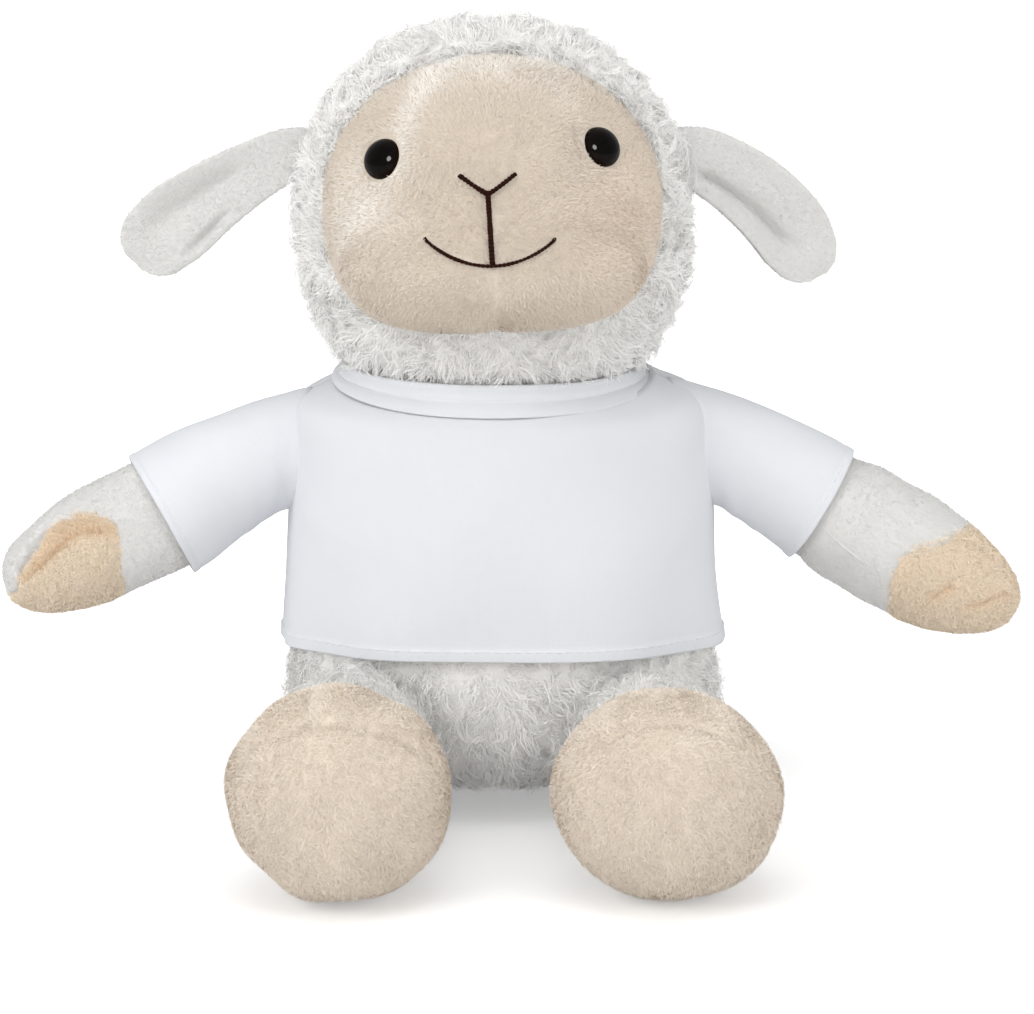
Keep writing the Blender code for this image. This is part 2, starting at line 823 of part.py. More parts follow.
def ear_layer(side, face):
    """One layer: a leaf that droops along an arc, cupped across, round at its sewn root."""
    root, seam, out, ahead = ear_frame(side)
    begin, end = ear_droops[side]
    base = begin + ear_seam_tilt
    across = np.array(ear_across_shares)
    rings = []
    for a in ear_root_turns:
        place = root - out * ear_root_radius * math.cos(a)
        thick = ear_root_radius * math.sin(a) - seam_gap / 2 + 0 * across
        half = ear_half_width * ear_shares[0][1]
        rings.append(layer_ring(place, seam, ahead, half, thick, across, 0.0, face))
    fine = np.linspace(0, 1, ear_walk_steps + 1)
    angle = base * soft_curve(((0, 0), (ear_bend_share, 1), (1, 1)), fine, 1)
    angle = angle + (end - begin) * fine
    walk = np.cumsum(
        np.cos(angle)[:, None] * out - np.sin(angle)[:, None] * seam, axis=0
    ) * (ear_lengths[side] / ear_walk_steps)
    for share in ear_station_shares:
        i = int(round(share * ear_walk_steps))
        turn = angle[i]
        width = seam * math.cos(turn) + out * math.sin(turn)
        half = ear_half_width * soft_curve(ear_shares, np.array(share), 1)
        full = ear_thickness * soft_curve(ear_shares, np.array(share), 2)
        thick = ear_edge + full / 2 * np.sqrt(1 - (across * ear_round_share) ** 2)
        cup = ear_cup * math.sin(math.pi * min(share, ear_cup_top_share) / ear_cup_span_share)
        rings.append(layer_ring(root + walk[i], width, ahead, half, thick, across, cup, face))
    return ring_mesh(rings)


def layer_ring(place, width, ahead, half, thick, across, cup, face):
    """Closed outline of one layer at one station: its outer face, then its inner face back."""
    middle = place + np.outer(across * half, width) + np.outer(cup * (across**2 - 0.5), ahead)
    inner = middle + face * seam_gap / 2 * ahead
    outer = inner + face * np.outer(thick, ahead)
    return np.concatenate([outer, inner[::-1]])


def make_ears():
    cutters = []
    for side, word in ((-1, "left"), (1, "right")):
        root, seam, out, ahead = ear_frame(side)
        reach = ear_half_width * ear_shares[0][1] + seam_gap
        groove = rod_mesh(root - seam * reach, root + seam * reach, ear_root_radius + seam_gap)
        cutters.append(add_cutter(f"{word}_ear_groove_cutter", groove))
        add_piece(f"{word}_ear_front", ear_layer(side, 1), "velour", root)
        add_piece(f"{word}_ear_back", ear_layer(side, -1), "velour", root)
    return cutters


# Arms, legs, feet and tail

def limb_axes(direction, up):
    """Outward, upward and sideways directions of a limb."""
    out = unit(direction)
    over = unit(np.asarray(up) - np.dot(up, out) * out)
    return out, over, np.cross(out, over)


def limb_grid(centre, axes, radius, length, shares, stations, columns, flatness=1.0, mouth=0.0):
    """Rings of a limb: a ball round its root, from the mouth angle on, then a tube that swells."""
    out, over, side = axes
    angles = full_turn(columns)
    rings = []
    for turn in np.linspace(mouth, math.pi / 2, 3):
        rings.append((-radius * math.cos(turn), radius * math.sin(turn), 1.0))
    for share in stations:
        swell = float(soft_curve(shares, np.array(share), 1))
        flat = 1 - (1 - flatness) * min(1.0, 2 * share)
        rings.append((length * share, radius * swell, flat))
    return np.stack(
        [
            centre
            + along * out
            + around * (np.outer(np.cos(angles), over) + flat * np.outer(np.sin(angles), side))
            for along, around, flat in rings
        ]
    )


def shoulder_centre(side):
    return np.array((side * shoulder_out, 0.0, torso_height - shoulder_below_neck))


def arm_axes(side):
    droop = arm_droops[side]
    swing = arm_swings[side]
    direction = (
        side * math.cos(droop) * math.cos(swing),
        -math.cos(droop) * math.sin(swing),
        -math.sin(droop),
    )
    return limb_axes(direction, (0, 0, 1))


def make_arm(side, word):
    """Velour arm with a plush pad under the hand, its filling, and the T-shirt's sleeve."""
    centre = shoulder_centre(side)
    axes = arm_axes(side)
    out, over, sideways = axes
    length = arm_lengths[side]
    root = shoulder_radius - jersey_thickness - seam_gap
    shape = (centre, axes, root, length, arm_shares)
    kind = (arm_columns, arm_flatness_share, arm_mouth)
    outer = limb_grid(*shape, arm_station_shares, *kind)
    tip = centre + out * length
    inner = moved_in(outer, velour_thickness)
    depth = velour_thickness + lining_gap
    skin_rings = shell_mesh(outer[::-1], inner[::-1], tip, tip - out * velour_thickness)
    skin = add_piece(f"{word}_arm_skin", skin_rings, "velour", centre)
    pad_rings = shell_mesh(outer[::-1], inner[::-1], tip, tip - out * velour_thickness)
    pad = add_piece(f"{word}_hand_pad", pad_rings, "beige_plush", centre)
    core = ring_mesh(moved_in(outer, depth), end=tip - out * depth)
    add_piece(f"{word}_arm_stuffing", core, "filling", centre)
    front = sideways if sideways[1] < 0 else -sideways
    for piece, ease, how in ((skin, seam_gap, "DIFFERENCE"), (pad, 0.0, "INTERSECT")):
        block = block_mesh(
            centre,
            (out, over, front),
            (length * pad_start_share - ease, -2 * root, -pad_behind - ease),
            (length + overrun, pad_top + ease, 2 * root),
        )
        cutter = add_cutter(f"{piece.name}_cutter", block, centre)
        combine(piece, cutter, how)
    reach = sleeve_lengths[side] / length
    fold = hem_fold / length
    step = seam_gap / length
    stations = [*arm_station_shares[:2], reach - fold - step, reach - fold, reach]
    under = limb_grid(*shape, stations, *kind)
    opening = np.zeros(len(under))
    opening[-5:] = cuff_flare * np.array(cuff_flare_shares)
    extra = np.zeros(len(under))
    extra[-2:] = hem_extra
    lining = moved_in(under, -(seam_gap + opening)[:, None, None])
    cover = moved_in(under, -(seam_gap + opening + jersey_thickness + extra)[:, None, None])
    add_piece(f"{word}_sleeve", shell_mesh(cover, lining), "jersey", centre)


def hip_centre(side):
    return np.array((side * hip_out, -hip_forward, hip_height))


def foot_centre(side):
    return np.array((side * foot_outs[side], -foot_forward, foot_height))


def foot_points(side, turn, bearing, ease=0.0):
    """Foot's egg: turn is measured from the sole's middle, bearing runs round it."""
    ahead = np.array((0.0, -math.cos(sole_tilt), -math.sin(sole_tilt)))
    up = np.array((0.0, -math.sin(sole_tilt), math.cos(sole_tilt)))
    across = np.array((1.0, 0.0, 0.0))
    direction = (
        np.cos(turn)[..., None] * ahead
        + (np.sin(turn) * np.cos(bearing))[..., None] * across
        + (np.sin(turn) * np.sin(bearing))[..., None] * up
    )
    sizes = np.array((foot_half_width, foot_half_depth, foot_half_rise)) + ease
    return foot_centre(side) + direction * sizes


def foot_grid(side, turns, ease=0.0):
    turn, bearing = np.meshgrid(turns, full_turn(foot_columns), indexing="ij")
    return foot_points(side, turn, bearing, ease)


def make_leg(side, word, floor):
    """Short plush leg, the foot's upper and sole, and one filling for both."""
    hip = hip_centre(side)
    foot = foot_centre(side)
    axes = limb_axes(foot - hip, (0, 0, 1))
    reach = np.linalg.norm(foot - hip) - foot_half_depth * leg_stop_share
    shape = (hip, axes, hip_radius, reach, leg_shares)
    outer = limb_grid(*shape, leg_station_shares, leg_columns, mouth=leg_mouth)
    inner = moved_in(outer, plush_thickness)
    leg = add_piece(f"{word}_leg_skin", shell_mesh(outer, inner), "wool", hip)
    half_gap = seam_gap / foot_half_depth / 2
    sole_turns = np.linspace(0, sole_reach - half_gap, sole_rings + 1)[1:]
    upper_turns = np.linspace(sole_reach + half_gap, math.pi, upper_rings + 1)[:-1]
    zero = np.array(0.0)
    envelope = ring_mesh(
        foot_grid(side, np.concatenate([sole_turns, upper_turns]), seam_gap),
        start=foot_points(side, zero, zero, seam_gap),
        end=foot_points(side, zero + math.pi, zero, seam_gap),
    )
    combine(leg, add_cutter(f"{word}_foot_envelope_cutter", envelope), "DIFFERENCE")
    sole = foot_grid(side, sole_turns)
    upper = foot_grid(side, upper_turns)
    ahead = foot_points(side, zero, zero)
    behind = foot_points(side, zero + math.pi, zero)
    forward = unit(ahead - foot)
    sole_inner = moved_in(sole, plush_thickness)
    sole_piece = add_piece(
        f"{word}_foot_sole",
        shell_mesh(sole, sole_inner, ahead, ahead - plush_thickness * forward),
        "beige_plush",
        hip,
    )
    upper_inner = moved_in(upper, plush_thickness)
    upper_piece = add_piece(
        f"{word}_foot_upper",
        shell_mesh(
            upper[::-1], upper_inner[::-1], behind, behind + plush_thickness * forward
        ),
        "beige_plush",
        hip,
    )
    ankle = rod_mesh(hip, foot, hip_radius - plush_thickness, leg_columns)
    combine(upper_piece, add_cutter(f"{word}_ankle_cutter", ankle), "DIFFERENCE")
    for piece in (sole_piece, upper_piece):
        combine(piece, floor, "DIFFERENCE")
    depth = plush_thickness + lining_gap
    thigh = ring_mesh(moved_in(outer, depth))
    filling = add_piece(f"{word}_leg_stuffing", thigh, "filling", hip)
    core = ring_mesh(
        moved_in(foot_grid(side, np.concatenate([sole_turns, upper_turns])), depth),
        start=ahead - depth * forward,
        end=behind + depth * forward,
    )
    combine(filling, add_cutter(f"{word}_foot_core_cutter", core), "UNION")


def tail_centre():
    return np.array((0.0, tail_back, tail_height))


def make_tail():
    centre = tail_centre()
    axes = limb_axes((0, math.cos(tail_droop), -math.sin(tail_droop)), (0, 0, 1))
    shape = (centre, axes, tail_radius, tail_length, tail_shares)
    outer = limb_grid(*shape, tail_station_shares, tail_columns, mouth=tail_mouth)
    tip = centre + axes[0] * tail_length
    inner = moved_in(outer, plush_thickness)
    depth = plush_thickness + lining_gap
    bm = shell_mesh(outer[::-1], inner[::-1], tip, tip - axes[0] * plush_thickness)
    add_piece("tail_skin", bm, "wool", centre)
    core = ring_mesh(moved_in(outer, depth), end=tip - axes[0] * depth)
    add_piece("tail_stuffing", core, "filling", centre)


def make_seat_cutters():
    """Balls that seat the head, the limbs and the tail in the torso, and the floor."""
    cup = head_radius + 2 * neck_clearance + neck_pad_thickness
    ball = ball_mesh(head_centre, cup, neck_cup_columns)
    cutters = {"neck": add_cutter("neck_cup_cutter", ball)}
    for side, word in ((-1, "left"), (1, "right")):
        radius = shoulder_radius + swivel_clearance
        ball = ball_mesh(shoulder_centre(side), radius)
        cutters[f"{word}_arm"] = add_cutter(f"{word}_shoulder_cutter", ball)
        ball = ball_mesh(hip_centre(side), hip_radius + swivel_clearance)
        cutters[f"{word}_leg"] = add_cutter(f"{word}_hip_cutter", ball)
    ball = ball_mesh(tail_centre(), tail_radius + swivel_clearance)
    cutters["tail"] = add_cutter("tail_seat_cutter", ball)
    spread = 2 * foot_forward
    floor = block_mesh(
        np.zeros(3), np.eye(3), (-spread, -spread, -overrun), (spread, spread, 0.0)
    )
    cutters["floor"] = add_cutter("floor_cutter", floor)
    return cutters


def main():
    for old in list(bpy.data.objects):
        bpy.data.objects.remove(old)
    cutters = make_seat_cutters()
    seats = [cutters[k] for k in ("neck", "left_arm", "right_arm", "left_leg", "right_leg", "tail")]
    make_torso(seats)
    make_shirt_half("shirt_front", -1, seats[1:3])
    make_shirt_half("shirt_back", 1, seats[1:3])
    make_collar()
    make_head(make_ears())
    make_neck()
    for side, word in ((-1, "left"), (1, "right")):
        make_arm(side, word)
        make_leg(side, word, cutters["floor"])
    make_tail()


main()
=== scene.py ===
import math

import bpy
import numpy as np
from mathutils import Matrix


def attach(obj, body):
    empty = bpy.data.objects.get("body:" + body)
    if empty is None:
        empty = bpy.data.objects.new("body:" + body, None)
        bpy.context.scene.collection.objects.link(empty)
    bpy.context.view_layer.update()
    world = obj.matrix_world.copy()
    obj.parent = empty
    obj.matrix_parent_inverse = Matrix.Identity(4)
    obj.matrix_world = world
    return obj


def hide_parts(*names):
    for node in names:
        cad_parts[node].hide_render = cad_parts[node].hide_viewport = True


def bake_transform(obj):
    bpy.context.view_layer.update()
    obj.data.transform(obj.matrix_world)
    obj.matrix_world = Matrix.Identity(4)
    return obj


# A seated plush sheep in a plain T-shirt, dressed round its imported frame.
# Metres, +Z up, and the sheep looks towards -Y. Left is -X, as one sees it from the front.

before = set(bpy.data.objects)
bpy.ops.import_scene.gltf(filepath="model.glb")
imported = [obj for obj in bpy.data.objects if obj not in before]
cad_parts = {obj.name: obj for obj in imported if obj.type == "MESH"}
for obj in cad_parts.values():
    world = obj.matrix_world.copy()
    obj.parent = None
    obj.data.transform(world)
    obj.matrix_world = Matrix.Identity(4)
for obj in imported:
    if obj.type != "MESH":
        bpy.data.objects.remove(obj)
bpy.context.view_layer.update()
scene = bpy.context.scene
degree = math.pi / 180
fullTurn = math.tau
sides = ((-1, "left"), (1, "right"))
draw = np.random.default_rng(11)    # all chance comes from here, in the order of the pieces
print("stage: frame loaded,", len(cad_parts), "nodes")


# Tools for surfaces

def unit(vectors):
    # Each vector divided by its own length.
    return vectors / np.maximum(np.linalg.norm(vectors, axis=-1, keepdims=True), 1e-12)


def softStep(values, low, high):
    # 0 up to low, 1 from high, and 3t^2 - 2t^3 between them.
    t = np.clip((values - low) / (high - low), 0, 1)
    return t * t * (3 - 2 * t)


def bell(values, middle, width):
    # 1 at the middle, falling off as exp(-((value - middle) / width)^2).
    return np.exp(-(((values - middle) / width) ** 2))


def hump(angle, middle, span, power):
    # 1 at the middle, falling off past the span, the more steeply the higher the power.
    return np.exp(-np.abs((angle - middle) / span) ** power)


def signedPower(values, power):
    # The size of each value raised to the power, with the value's own sign.
    return np.sign(values) * np.abs(values) ** power


def allRound(count):
    # Evenly spaced angles round a full turn.
    return np.arange(count) * fullTurn / count


def runAlong(line):
    # Distance run from a line's start to each of its points.
    return np.append(0, np.cumsum(np.linalg.norm(np.diff(line, axis=0), axis=-1)))


def readAt(marks, run, line):
    # A line's points read at marks along its run, by straight steps between them.
    return np.stack([np.interp(marks, run, line[:, i]) for i in range(3)], axis=-1)


def throughRows(rows, where, column=1):
    # Smooth curve through a table's rows that never overshoots them (a monotone cubic).
    table = np.array(rows, float)
    x, y = table[:, 0], table[:, column]
    steps = np.diff(x)
    slopes = np.diff(y) / steps
    product = slopes[:-1] * slopes[1:]
    inner = np.where(product > 0, 2 * product / np.where(product > 0, slopes[:-1] + slopes[1:], 1), 0)
    tangents = np.concatenate([slopes[:1], inner, slopes[-1:]])
    where = np.clip(where, x[0], x[-1])
    i = np.clip(np.searchsorted(x, where, side="right") - 1, 0, len(x) - 2)
    t = (where - x[i]) / steps[i]
    ends = y[i] * (1 + 2 * t) * (1 - t) ** 2 + y[i + 1] * t * t * (3 - 2 * t)
    return ends + steps[i] * t * (1 - t) * (tangents[i] * (1 - t) - tangents[i + 1] * t)


def waves(points, size, seed, count=8):
    # Sum of sine waves that run in seeded directions with lengths near size, about -1 to 1.
    chance = np.random.default_rng(seed)
    lengths = size * chance.uniform(0.65, 1.5, (count, 1))
    runs = unit(chance.normal(size=(count, 3))) * fullTurn / lengths
    phases = chance.uniform(0, fullTurn, count)
    return np.sin(points @ runs.T + phases).sum(axis=-1) / math.sqrt(count)


def gridNormals(grid, closed, inside):
    # Cross product of the steps along the two parameters, turned away from the point inside.
    along = np.gradient(grid, axis=0)
    if closed:
        around = np.roll(grid, -1, axis=1) - np.roll(grid, 1, axis=1)
    else:
        around = np.gradient(grid, axis=1)
    normals = unit(np.cross(around, along))
    return -normals if ((grid - inside) * normals).sum() < 0 else normals


def makeMesh(name, points, quads, triangles, values=None, uv=None):
    # Whole arrays of corners go straight into the mesh, four-sided faces first.
    mesh = bpy.data.meshes.new(name)
    corners = np.concatenate([quads.ravel(), triangles.ravel()]).astype(np.int32)
    starts = np.concatenate([np.arange(len(quads)) * 4, len(quads) * 4 + np.arange(len(triangles)) * 3])
    mesh.vertices.add(len(points))
    mesh.vertices.foreach_set("co", np.ascontiguousarray(points, np.float32).ravel())
    mesh.loops.add(len(corners))
    mesh.loops.foreach_set("vertex_index", corners)
    mesh.polygons.add(len(starts))
    mesh.polygons.foreach_set("loop_start", starts.astype(np.int32))
    for key, array in (values or {}).items():
        layer = mesh.attributes.new(key, "FLOAT", "POINT")
        layer.data.foreach_set("value", np.ascontiguousarray(array, np.float32).ravel())
    mesh.update(calc_edges=True)
    if uv is not None:
        layer = mesh.uv_layers.new(name="cut")
        layer.data.foreach_set("uv", np.ascontiguousarray(uv[corners], np.float32).ravel())
    mesh.validate()
    mesh.shade_smooth()
    piece = bpy.data.objects.new(name, mesh)
    scene.collection.objects.link(piece)
    return piece


def skin(name, grid, closed=True, first=None, last=None, inside=None, values=None, uv=None, hole=None):
    # Faces between neighbouring rows and columns of a grid, fanned at either end to a pole: a
    # point, or the row's middle if True. Cells where hole is true stay open.
    rows, columns = grid.shape[:2]
    index = np.arange(rows * columns).reshape(rows, columns)
    left = index if closed else index[:, :-1]
    right = np.roll(index, -1, axis=1) if closed else index[:, 1:]
    quads = np.stack([left[:-1], right[:-1], right[1:], left[1:]], axis=-1)
    quads = quads.reshape(-1, 4) if hole is None else quads[~hole]
    points = grid.reshape(-1, 3)
    triangles = np.zeros((0, 3), int)
    for pole, row, a, b in ((first, 0, right, left), (last, -1, left, right)):
        if pole is not None:
            fan = np.stack([a[row], b[row], np.full(len(a[row]), len(points))], axis=-1)
            triangles = np.concatenate([triangles, fan])
            points = np.concatenate([points, [grid[row].mean(axis=0) if pole is True else pole]])
    a, b, c = (points[quads[:, i]] for i in (0, 1, 3))
    middle = grid.reshape(-1, 3).mean(axis=0) if inside is None else inside
    if (np.cross(b - a, c - a) * (a - middle)).sum() < 0:
        quads, triangles = quads[:, ::-1], triangles[:, ::-1]
    extra = len(points) - rows * columns
    if values:
        values = {k: np.concatenate([v.ravel(), np.full(extra, v.mean())]) for k, v in values.items()}
    if uv is not None:
        uv = np.concatenate([uv.reshape(-1, 2), np.zeros((extra, 2))])
    return makeMesh(name, points, quads, triangles, values, uv)


def carried(path, widths, columns, up=(0.0, 0.0, 1.0)):
    # A round profile carried along a path: centre + width * (cos * side + sin * over).
    tangents = unit(np.gradient(path, axis=0))
    side = unit(np.cross(tangents, np.asarray(up, float)))
    turn = allRound(columns)[:, None]
    ring = np.cos(turn) * side[:, None] + np.sin(turn) * np.cross(side, tangents)[:, None]
    return path[:, None] + np.asarray(widths)[:, None, None] * ring


# Tools for pile

def scatter(grid, closed, count, inside, keep=None, fields=()):
    # Cells are drawn in proportion to area times keep, evenly spaced in their order, then a
    # place in the cell is read by mixing its four corners, and so is each field given.
    keep = np.ones(grid.shape[:2]) if keep is None else keep
    arrays = [grid, gridNormals(grid, closed, inside), keep, *fields]
    if closed:
        arrays = [np.concatenate([array, array[:, :1]], axis=1) for array in arrays]
    grid, normals, keep, *fields = arrays
    down = grid[1:, :-1] - grid[:-1, :-1]
    across = grid[:-1, 1:] - grid[:-1, :-1]
    weight = np.linalg.norm(np.cross(down, across), axis=-1) * keep[:-1, :-1]
    total = np.cumsum(weight.ravel())
    marks = (np.arange(count) + draw.uniform(0, 1, count)) / count * total[-1]
    row, column = np.divmod(np.searchsorted(total, marks), weight.shape[1])
    row = np.minimum(row, weight.shape[0] - 1)
    a = draw.uniform(0, 1, (count, 1))
    b = draw.uniform(0, 1, (count, 1))

    def mixed(array):
        near = array[row, column] * (1 - b) + array[row, column + 1] * b
        far = array[row + 1, column] * (1 - b) + array[row + 1, column + 1] * b
        return near * (1 - a) + far * a

    return mixed(grid), unit(mixed(normals)), *[mixed(field[..., None])[:, 0] for field in fields]


def turnedLean(normals, wish, angle):
    # The wished direction laid in the surface, then turned about the normal by an angle.
    lean = unit(wish - (wish * normals).sum(axis=-1, keepdims=True) * normals)
    side = np.cross(normals, lean)
    return np.cos(angle)[:, None] * lean + np.sin(angle)[:, None] * side


def growPile(name, look, places, normals, leans, sizes, parts=1, marks=None):
    # A hair runs root + offset * (1 - gather * t^1.2) + rise * sin(arch * t) * normal
    # + reach * t^bend * lean + curl * t * (a turning circle), as a ribbon that ends in a point.
    count, each, steps = len(places), look["hairs"], look["points"]
    shape = (count, each)
    t = np.linspace(0, 1, steps)
    normal, first = normals[:, None, None], leans[:, None, None]
    turn = draw.normal(0, look["spread"], shape)[..., None, None]
    lean = np.cos(turn) * first + np.sin(turn) * np.cross(normals, leans)[:, None, None]
    side = np.cross(normal, lean)
    size = sizes[:, None, None] * draw.uniform(0.6, 1.25, (count, each, 1))
    spot = draw.uniform(0, fullTurn, shape)[..., None, None]
    radius = look["tuftRadius"] * np.sqrt(draw.uniform(0, 1, shape))[..., None, None]
    offset = radius * (np.cos(spot) * first + np.sin(spot) * side)
    rise = (look["rise"] * size * np.sin(t * look["arch"]))[..., None]
    reach = (look["reach"] * size * t ** look["bend"])[..., None]
    phase = draw.uniform(0, fullTurn, (count, 1, 1)) + draw.normal(0, 0.6, (count, each, 1))
    circle = (phase + look["turns"] * fullTurn * t)[..., None]
    curl = (look["curl"] * size * t)[..., None]
    path = places[:, None, None] + offset * (1 - look["gather"] * t ** 1.2)[:, None]
    path = path + rise * normal + reach * lean
    path = path + curl * (np.cos(circle) * lean + np.sin(circle) * side)
    path = path.reshape(-1, steps, 3)
    path[..., 2] = np.maximum(path[..., 2], look["floor"])
    number = len(path)
    tangents = unit(np.gradient(path, axis=1))
    wide = unit(np.cross(tangents, np.repeat(normals, each, axis=0)[:, None]))
    tilt = draw.normal(0, look["tilt"], (number, 1, 1))
    wide = np.cos(tilt) * wide + np.sin(tilt) * np.cross(tangents, wide)
    half = look["width"] / 2 * draw.uniform(0.7, 1.3, (number, 1)) * (1 - 0.75 * t[:-1] ** 2)
    edge = wide[:, :-1] * half[..., None]
    both = np.stack([path[:, :-1] - edge, path[:, :-1] + edge], axis=2).reshape(number, -1, 3)
    points = np.concatenate([both, path[:, -1:]], axis=1)
    size = points.shape[1]
    along = np.concatenate([np.repeat(t[:-1], 2), [1.0]])
    tone = np.repeat(draw.normal(0, 1, count) * look["tuftTone"], each)
    tone = tone + draw.normal(0, look["hairTone"], number)
    values = {"tone": tone, **{key: np.repeat(mark, each) for key, mark in (marks or {}).items()}}
    quad = np.arange(steps - 2)[:, None] * 2 + np.array([0, 1, 3, 2])
    tip = np.array([size - 3, size - 2, size - 1])
    made = []
    for part, rows in enumerate(np.array_split(np.arange(number), parts)):
        start = np.arange(len(rows))[:, None, None] * size
        stored = {"along": np.tile(along, len(rows))}
        stored.update({key: np.repeat(value[rows], size) for key, value in values.items()})
        word = name if parts == 1 else f"{name}_{part + 1}"
        made.append(makeMesh(word, points[rows].reshape(-1, 3), (start + quad).reshape(-1, 4),
                             (start[..., 0] + tip).reshape(-1, 3), stored))
    return made


def layPile(name, body, coat, look, found, wish, swirl, sizes=None, shorter=1.0, parts=1, marks=None):
    # Hairs at the places found lean along the wish, turned by chance and by slow waves, and each
    # is as long as its look says, times a drawn size. Wish and shorter may depend on the place.
    places, normals = found
    wish = wish(places) if callable(wish) else wish
    shorter = shorter(places) if callable(shorter) else shorter
    chance, *slow = swirl
    turn = draw.normal(0, chance, len(places))
    if slow:
        amount, size, seed = slow
        turn = turn + amount * waves(places, size, seed)
    leans = turnedLean(normals, wish + 0 * normals, turn)
    drawn = draw.uniform(*sizes, len(places)) * shorter if sizes else np.ones(len(places))
    for piece in growPile(name, look, places, normals, leans, drawn, parts, marks):
        dress(piece, body, coat)


# Materials

def feed(node, inputs):
    # Joins each input of a node to a socket, or sets it to a number or a colour.
    for key, value in inputs.items():
        socket = node.inputs[key]
        if isinstance(value, bpy.types.NodeSocket):
            node.id_data.links.new(value, socket)
        else:
            socket.default_value = (*value, 1.0) if socket.type == "RGBA" else value


def nodeTools(tree):
    # Ways to grow a tree, each of which returns an output: any node, a sum, a mix of two
    # colours by a share, and a value stored on the mesh.
    def add(kind, inputs=None, out=0, **settings):
        node = tree.nodes.new("ShaderNode" + kind)
        for key, value in settings.items():
            setattr(node, key, value)
        feed(node, inputs or {})
        return node.outputs[out]

    def calc(operation, first, second=0.0):
        return add("Math", {0: first, 1: second}, operation=operation)

    def mix(share, first, second):
        return add("Mix", {0: share, 6: first, 7: second}, 2, data_type="RGBA")

    def stored(key):
        return add("Attribute", out="Fac", attribute_name=key)

    return add, calc, mix, stored


def newMaterial(name):
    # A material, its shader and the tools of its tree.
    made = bpy.data.materials.new(name)
    made.use_nodes = True
    return made, made.node_tree.nodes["Principled BSDF"], *nodeTools(made.node_tree)


def finish(shader, colour, roughness, specular=0.5, sheen=0.0, sheenRoughness=0.5):
    # Colour and gloss on the shader's own sockets.
    feed(shader, {"Base Color": colour, "Roughness": roughness, "Specular IOR Level": specular,
                  "Sheen Weight": sheen, "Sheen Roughness": sheenRoughness})


def bump(add, shader, height, strength, distance):
    # The shader's normal tilted as the height rises and falls.
    made = add("Bump", {"Height": height, "Strength": strength, "Distance": distance})
    feed(shader, {"Normal": made})


def patchNoise(add, scale, detail, high=1.0):
    # Noise on object coordinates, mapped from its middle band to a share from 0 to high.
    where = add("TexCoord", out="Object")
    noise = add("TexNoise", {"Vector": where, "Scale": scale, "Detail": detail}, "Fac")
    band = {"Value": noise, "From Min": 0.3, "From Max": 0.7, "To Min": 0.0, "To Max": high}
    return add("MapRange", band, "Result"), where


def pileMaterial(name, look):
    # Hair colour: root to tip along the hair, in soft patches, turned to a painted highlight colour
    # and to a colour of painted shading and tint where the hairs are marked so, and lighter or darker by the
    # hair's tone.
    made, shader, add, calc, mix, stored = newMaterial(name)
    patches, where = patchNoise(add, look["patchScale"], 2.0)
    colour = mix(stored("along"), look["root"], look["tip"])
    colour = mix(calc("MULTIPLY", patches, look["patchShare"]), colour, look["patch"])
    for mark in ("pale", "deep"):
        if mark in look:
            colour = mix(stored(mark), colour, look[mark])
    tone = calc("ADD", stored("tone"), 1.0)
    colour = add("HueSaturation", {"Color": colour, "Value": tone})
    finish(shader, colour, look["roughness"], 0.25, look["sheen"], 0.6)
    return made


def clothMaterial(name, colour, patch, patchScale, patchShare, napScale, napStrength, napHeight, roughness,
                  sheen):
    # Backing or short cloth: a colour with soft patches, and a fine nap as bump.
    made, shader, add, calc, mix, stored = newMaterial(name)
    patches, where = patchNoise(add, patchScale, 4.0, patchShare)
    nap = add("TexNoise", {"Vector": where, "Scale": napScale, "Detail": 5.0, "Roughness": 0.65}, "Fac")
    bump(add, shader, nap, napStrength, napHeight)
    finish(shader, mix(patches, colour, patch), roughness, 0.2, sheen)
    return made


def jerseyMaterial(name, look):
    # Fine knit on the cloth's own cut: along each column of loops runs sin(row + slant * |x|),
    # pressed down between columns by |sin(column)|, as bump and a trace of shade.
    made, shader, add, calc, mix, stored = newMaterial(name)
    x = add("SeparateXYZ", {0: add("UVMap", uv_map="cut")})
    across = calc("DIVIDE", x, look["loopWidth"])
    upward = calc("DIVIDE", x.node.outputs[1], look["loopHeight"])
    saw = calc("ABSOLUTE", calc("SUBTRACT", calc("FRACT", across), 0.5))
    slant = calc("ADD", upward, calc("MULTIPLY", saw, look["slant"]))
    loops = calc("SINE", calc("MULTIPLY", slant, fullTurn))
    column = calc("ABSOLUTE", calc("SINE", calc("MULTIPLY", across, math.pi)))
    height = calc("ADD", calc("MULTIPLY", loops, 0.35), column)
    bump(add, shader, height, look["strength"], look["height"])
    patches, where = patchNoise(add, look["patchScale"], 4.0, look["patchShare"])
    dips = calc("MULTIPLY", calc("SUBTRACT", 1.0, column), look["dipShade"])
    colour = mix(dips, mix(patches, look["colour"], look["patch"]), look["dip"])
    finish(shader, colour, look["roughness"], 0.25, 0.15)
    return made


def threadMaterial(name, colour, light, roughness):
    # Spun thread: lighter fibres in a fine noise, which is its bump too.
    made, shader, add, calc, mix, stored = newMaterial(name)
    patches, where = patchNoise(add, 2600.0, 3.0)
    bump(add, shader, patches, 0.5, 0.0001)
    finish(shader, mix(patches, colour, light), roughness, 0.03)
    return made


def glossMaterial(name, colour, rim, roughness, specular):
    # Moulded plastic: one colour that turns to the rim's where the stored rim rises; on the eyes the brown
    # rim is a painted reflection of the beige face round them.
    made, shader, add, calc, mix, stored = newMaterial(name)
    patches, where = patchNoise(add, 900.0, 2.0, 0.15)
    finish(shader, mix(patches, mix(stored("rim"), colour, rim), rim), roughness, specular)
    return made
